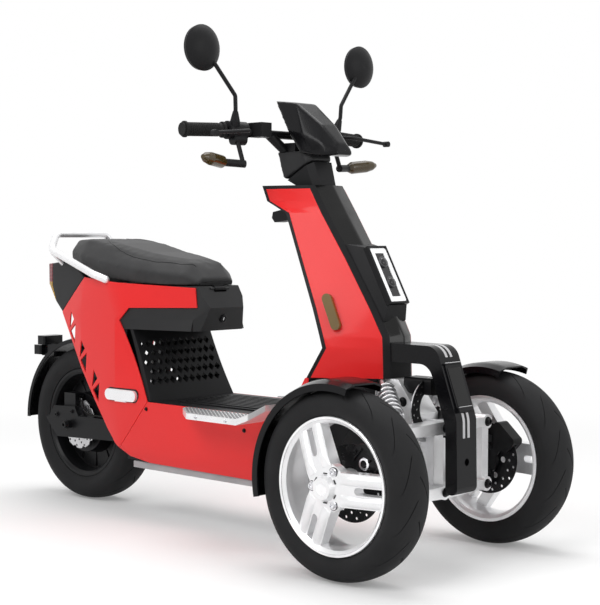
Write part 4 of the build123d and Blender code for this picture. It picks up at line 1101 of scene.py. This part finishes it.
shape = bmesh.new()
frame_place = Matrix.Translation(lamp_middle) @ lamp_turn
loops = []
for bar, rise in (
    (0.0, LAMP_FRAME_RISE),
    (LAMP_FRAME_BAR, LAMP_FRAME_RISE),
    (LAMP_FRAME_BAR, -LAMP_FRAME_ROOT),
    (0.0, -LAMP_FRAME_ROOT),
):
    wide = LAMP_RING_HALF + bar
    tall = LAMP_RING_TALL + bar
    corners = ((-wide, -tall), (wide, -tall), (wide, tall), (-wide, tall))
    loops.append([shape.verts.new(frame_place @ Vector((across, up, rise))) for across, up in corners])
join(shape, loops, closed=True)
gloss = looks["gloss_black"]
piece("lamp_frame", shape, "chassis", gloss, smooth=False, edge=LAMP_FRAME_EDGE)

domes = bmesh.new()
bezels = bmesh.new()
for offset in LENS_OFFSETS:
    place = stand(lamp_middle + lamp_up * offset + lamp_out * LENS_RISE, lamp_out)
    add_knob(domes, dome(LENS_RADIUS, LENS_HEIGHT), place, DOME_SIDES)
    add_ring(bezels, BEZEL, place, BEZEL_STEPS)
piece("lens_domes", domes, "chassis", looks["lens_dark"], sharp=LENS_SHARP)
piece("lens_bezels", bezels, "chassis", bezel_grey, smooth=False)


# Foot plates: slanted grip ribs on top, screws along the side


def on_plate(x, y):
    """True inside a foot plate's outline, a margin off its edge."""
    inside = PLATE_REAR < x < PLATE_FRONT and PLATE_INNER <= y <= PLATE_OUTER
    return inside and y < PLATE_CUT[1] + PLATE_CUT_SLOPE * (x - PLATE_CUT[0])


shape = bmesh.new()
rows = []
for side in SIDES.values():
    start = PLATE_REAR - RIB_LEAD
    while start < PLATE_FRONT:
        spots = []
        for step in range(RIB_SPOTS + 1):
            y = PLATE_INNER + (PLATE_OUTER - PLATE_INNER) * step / RIB_SPOTS
            x = start + (y - PLATE_INNER) / RIB_SLANT
            if on_plate(x, y):
                spots.append(at(x, y, PLATE_TOP, side))
        if len(spots) > RIB_LEAST:
            run = spots[-1] - spots[0]
            turn = Matrix.Rotation(math.atan2(run.y, run.x), 4, "Z")
            place = Matrix.Translation((spots[0] + spots[-1]) / 2) @ turn
            add_block(shape, place, (run.length, RIB_WIDTH, RIB_HEIGHT))
        start += RIB_PITCH
    for x in PLATE_SCREW_X:
        spot = at(x, PLATE_SCREW_Y, PLATE_TOP - PLATE_SCREW_DROP, side)
        rows.append((spot, (0, side, 0), PLATE_SCREW))
piece("plate_ribs", shape, "chassis", rib_grey, smooth=False, edge=RIB_EDGE)
bolts("plate_screws", rows, "chassis", chrome)


# Grips: bands along the rubber and a flange at either end

shape = bmesh.new()
band = [(along, GRIP_RADIUS + rise) for along, rise in GRIP_BAND]
for side in SIDES.values():
    tip = at(*GRIP_TIP, side)
    inward = (at(*GRIP_ROOT, side) - tip).normalized()
    for ring in range(GRIP_BANDS):
        place = stand(tip + inward * (GRIP_BAND_START + GRIP_BAND_PITCH * ring), inward)
        add_ring(shape, band, place, GRIP_BAND_STEPS)
    for offset in GRIP_FLANGES:
        add_ring(shape, GRIP_FLANGE, stand(tip + inward * offset, inward), GRIP_FLANGE_STEPS)
piece("grip_rings", shape, "steering", looks["rubber"], sharp=BOLT_SHARP)


# Lock in the seat box, screws in the red panels

found, normal = struck(faces_of(nodes["seat_box"].data), Vector(LOCK_RAY), (-1, 0, 0))
shape = bmesh.new()
add_knob(shape, LOCK_BARREL, stand(found, normal), LOCK_SIDES)
piece("seat_lock", shape, "chassis", bolt_black, sharp=BOLT_SHARP)
shape = bmesh.new()
add_block(shape, stand(found + normal * LOCK_SLOT_RISE, normal), LOCK_SLOT)
piece("seat_lock_slot", shape, "chassis", chrome, smooth=False)

rows = []
for node, x, z in PANEL_SCREWS:
    faces = faces_of(nodes[node].data)
    for side in SIDES.values():
        found, normal = struck(faces, at(x, PANEL_SCREW_RAY_Y, z, side), (0, -side, 0))
        if found is not None:
            rows.append((found, normal, PANEL_SCREW))
bolts("panel_screws", rows, "chassis", bolt_black)


# Seat: the solid is remeshed, swollen by cloth under pressure, and gets its sewn lines


def seat_foot(x):
    """Height of the seat's underside at a place along it."""
    station = min(max(x - AXLE_X, SEAT_FOOT[0][0]), SEAT_FOOT[-1][0])
    for (rear, low), (front, high) in zip(SEAT_FOOT, SEAT_FOOT[1:]):
        if station <= front:
            return low + (high - low) * (station - rear) / (front - rear)
    return SEAT_FOOT[-1][1]


def settle(obj):
    """Gives an object the mesh that its modifiers make, and clears them."""
    made = bpy.data.meshes.new_from_object(obj.evaluated_get(bpy.context.evaluated_depsgraph_get()))
    obj.modifiers.clear()
    obj.data = made
    return made


def swell(obj, held):
    """Blows an object up as cloth under pressure, its held corners fixed and the others' moves capped."""
    before = [vertex.co.copy() for vertex in obj.data.vertices]
    settings = obj.modifiers.new("cloth", "CLOTH").settings
    settings.use_pressure = True
    settings.uniform_pressure_force = SEAT_PRESSURE
    settings.tension_stiffness = SEAT_STIFF
    settings.compression_stiffness = SEAT_STIFF
    settings.bending_stiffness = SEAT_BEND
    settings.vertex_group_mass = held
    settings.effector_weights.gravity = 0.0
    settings.quality = SEAT_QUALITY
    for step in range(1, SEAT_FRAMES + 1):
        scene.frame_set(step)
    for vertex, start in zip(settle(obj).vertices, before):
        move = vertex.co - start
        if move.length > SEAT_SWELL:
            vertex.co = start + move.normalized() * SEAT_SWELL
    scene.frame_set(1)


def seat_cushion():
    """Swollen vinyl cover over the seat pad."""
    mesh = nodes["seat_pad"].data.copy()
    mesh.materials.clear()
    obj = bpy.data.objects.new("seat_cushion", mesh)
    scene.collection.objects.link(obj)
    low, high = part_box("seat_pad")
    middle = (low + high) / 2
    shrink = Matrix.Diagonal((SEAT_SHRINK, SEAT_SHRINK, 1, 1))
    mesh.transform(Matrix.Translation(middle) @ shrink @ Matrix.Translation(-middle))
    round_off(obj, SEAT_VOXEL, SEAT_ROUNDS)
    vertices = settle(obj).vertices
    for index in [vertex.index for vertex in vertices if vertex.normal.z < SEAT_UNDER]:
        place = vertices[index].co
        place.z = seat_foot(place.x) + SEAT_LIFT
    low_rim = [vertex.index for vertex in vertices if vertex.co.z < seat_foot(vertex.co.x) + SEAT_HELD]
    held = obj.vertex_groups.new(name="held")
    held.add(low_rim, 1.0, "REPLACE")
    swell(obj, "held")
    finer = obj.modifiers.new("finer", "SUBSURF")
    finer.levels = 1
    finer.render_levels = 1
    obj.data.materials.append(looks["seat"])
    obj.data.shade_smooth()
    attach(obj, "seat")
    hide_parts("seat_pad")
    return obj


def eased(points, rounds):
    """Line in plan with its corners cut a few times."""
    for _ in range(rounds):
        cut = [points[0]]
        for (x0, y0), (x1, y1) in zip(points, points[1:]):
            cut.append((0.75 * x0 + 0.25 * x1, 0.75 * y0 + 0.25 * y1))
            cut.append((0.25 * x0 + 0.75 * x1, 0.25 * y0 + 0.75 * y1))
        points = cut + [points[-1]]
    return points


cushion_faces = faces_of(seat_cushion().data)
shape = bmesh.new()
for side in SIDES.values():
    line = []
    for x, y in eased(SEAM_PLAN, SEAM_ROUNDS):
        found, normal = struck(cushion_faces, at(x, y, SEAM_RAY_Z, side), (0, 0, -1))
        if found is not None:
            line.append(found - normal * SEAM_SUNK)
    add_tube(shape, line, SEAM_RADIUS)
piece("seat_seams", shape, "seat", satin_black)


# Floor, light and camera

scene.view_settings.view_transform = "Standard"


def seen_share(tree):
    """1 for rays that show a thing straight, mirrored or through glass, else 0."""
    path = tree.nodes.new("ShaderNodeLightPath").outputs
    through = combine(tree, "MAXIMUM", path["Is Glossy Ray"], path["Is Transmission Ray"])
    return combine(tree, "MAXIMUM", path["Is Camera Ray"], through)


def stage_look():
    """White floor that keeps the soft shadow and fades into the white backdrop away from the object."""
    made, tree, bsdf = shader("stage_white")
    tones = {"Base Color": (FLOOR_TONE, FLOOR_TONE, FLOOR_TONE, 1.0), "Emission Color": WHITE}
    set_sockets(bsdf, {**tones, "Roughness": FLOOR_ROUGH, "Specular IOR Level": 0.0})
    seen = seen_share(tree)
    tree.links.new(combine(tree, "MULTIPLY", seen, FLOOR_GLOW), bsdf.inputs["Emission Strength"])
    away = tree.nodes.new("ShaderNodeVectorMath")
    away.operation = "LENGTH"
    tree.links.new(tree.nodes.new("ShaderNodeNewGeometry").outputs["Position"], away.inputs[0])
    fade = ranged(tree, away.outputs["Value"], {"From Min": FADE_START, "From Max": FADE_END})
    fade.interpolation_type = "SMOOTHSTEP"
    both = tree.nodes.new("ShaderNodeMixShader")
    tree.links.new(combine(tree, "MULTIPLY", fade.outputs["Result"], seen), both.inputs["Fac"])
    tree.links.new(bsdf.outputs["BSDF"], both.inputs[1])
    tree.links.new(tree.nodes.new("ShaderNodeEmission").outputs["Emission"], both.inputs[2])
    tree.links.new(both.outputs["Shader"], tree.nodes["Material Output"].inputs["Surface"])
    return made


floor_mesh = bpy.data.meshes.new("floor")
shape = bmesh.new()
bmesh.ops.create_grid(shape, x_segments=1, y_segments=1, size=FLOOR_HALF)
shape.to_mesh(floor_mesh)
shape.free()
floor_mesh.materials.append(stage_look())
floor = bpy.data.objects.new("floor", floor_mesh)
scene.collection.objects.link(floor)

# White where it is seen; as a light the studio is darker behind the camera and below
world = bpy.data.worlds.new("studio")
world.use_nodes = True
scene.world = world
sky = world.node_tree
background = sky.nodes["Background"]
background.inputs["Color"].default_value = WHITE
axes = split(sky, sky.nodes.new("ShaderNodeTexCoord").outputs["Generated"])
near_side = ranged(sky, axes["Y"], SKY_ACROSS).outputs["Result"]
height = ranged(sky, axes["Z"], SKY_UP).outputs["Result"]
shade = combine(sky, "MULTIPLY", near_side, height)
both = sky.nodes.new("ShaderNodeMix")
sky.links.new(seen_share(sky), both.inputs["Factor"])
sky.links.new(combine(sky, "MULTIPLY", shade, SKY_LEVEL), both.inputs["A"])
both.inputs["B"].default_value = 1.0
sky.links.new(both.outputs["Result"], background.inputs["Strength"])


def aim(obj, place, target):
    """Puts a lamp or camera at a place and turns it to a target."""
    obj.location = place
    obj.rotation_euler = (Vector(target) - Vector(place)).to_track_quat("-Z", "Y").to_euler()
    scene.collection.objects.link(obj)


for name, place, target, size, power in LAMPS:
    lamp = bpy.data.lights.new(name, "AREA")
    lamp.size = size
    lamp.energy = power
    aim(bpy.data.objects.new(name, lamp), place, target)

camera_data = bpy.data.cameras.new("photo_camera")
camera_data.sensor_width = SENSOR
camera_data.lens = FOCAL_PIXELS * SENSOR / IMAGE_HEIGHT
camera = bpy.data.objects.new("photo_camera", camera_data)
aim(camera, CAMERA_PLACE, CAMERA_TARGET)
scene.camera = camera
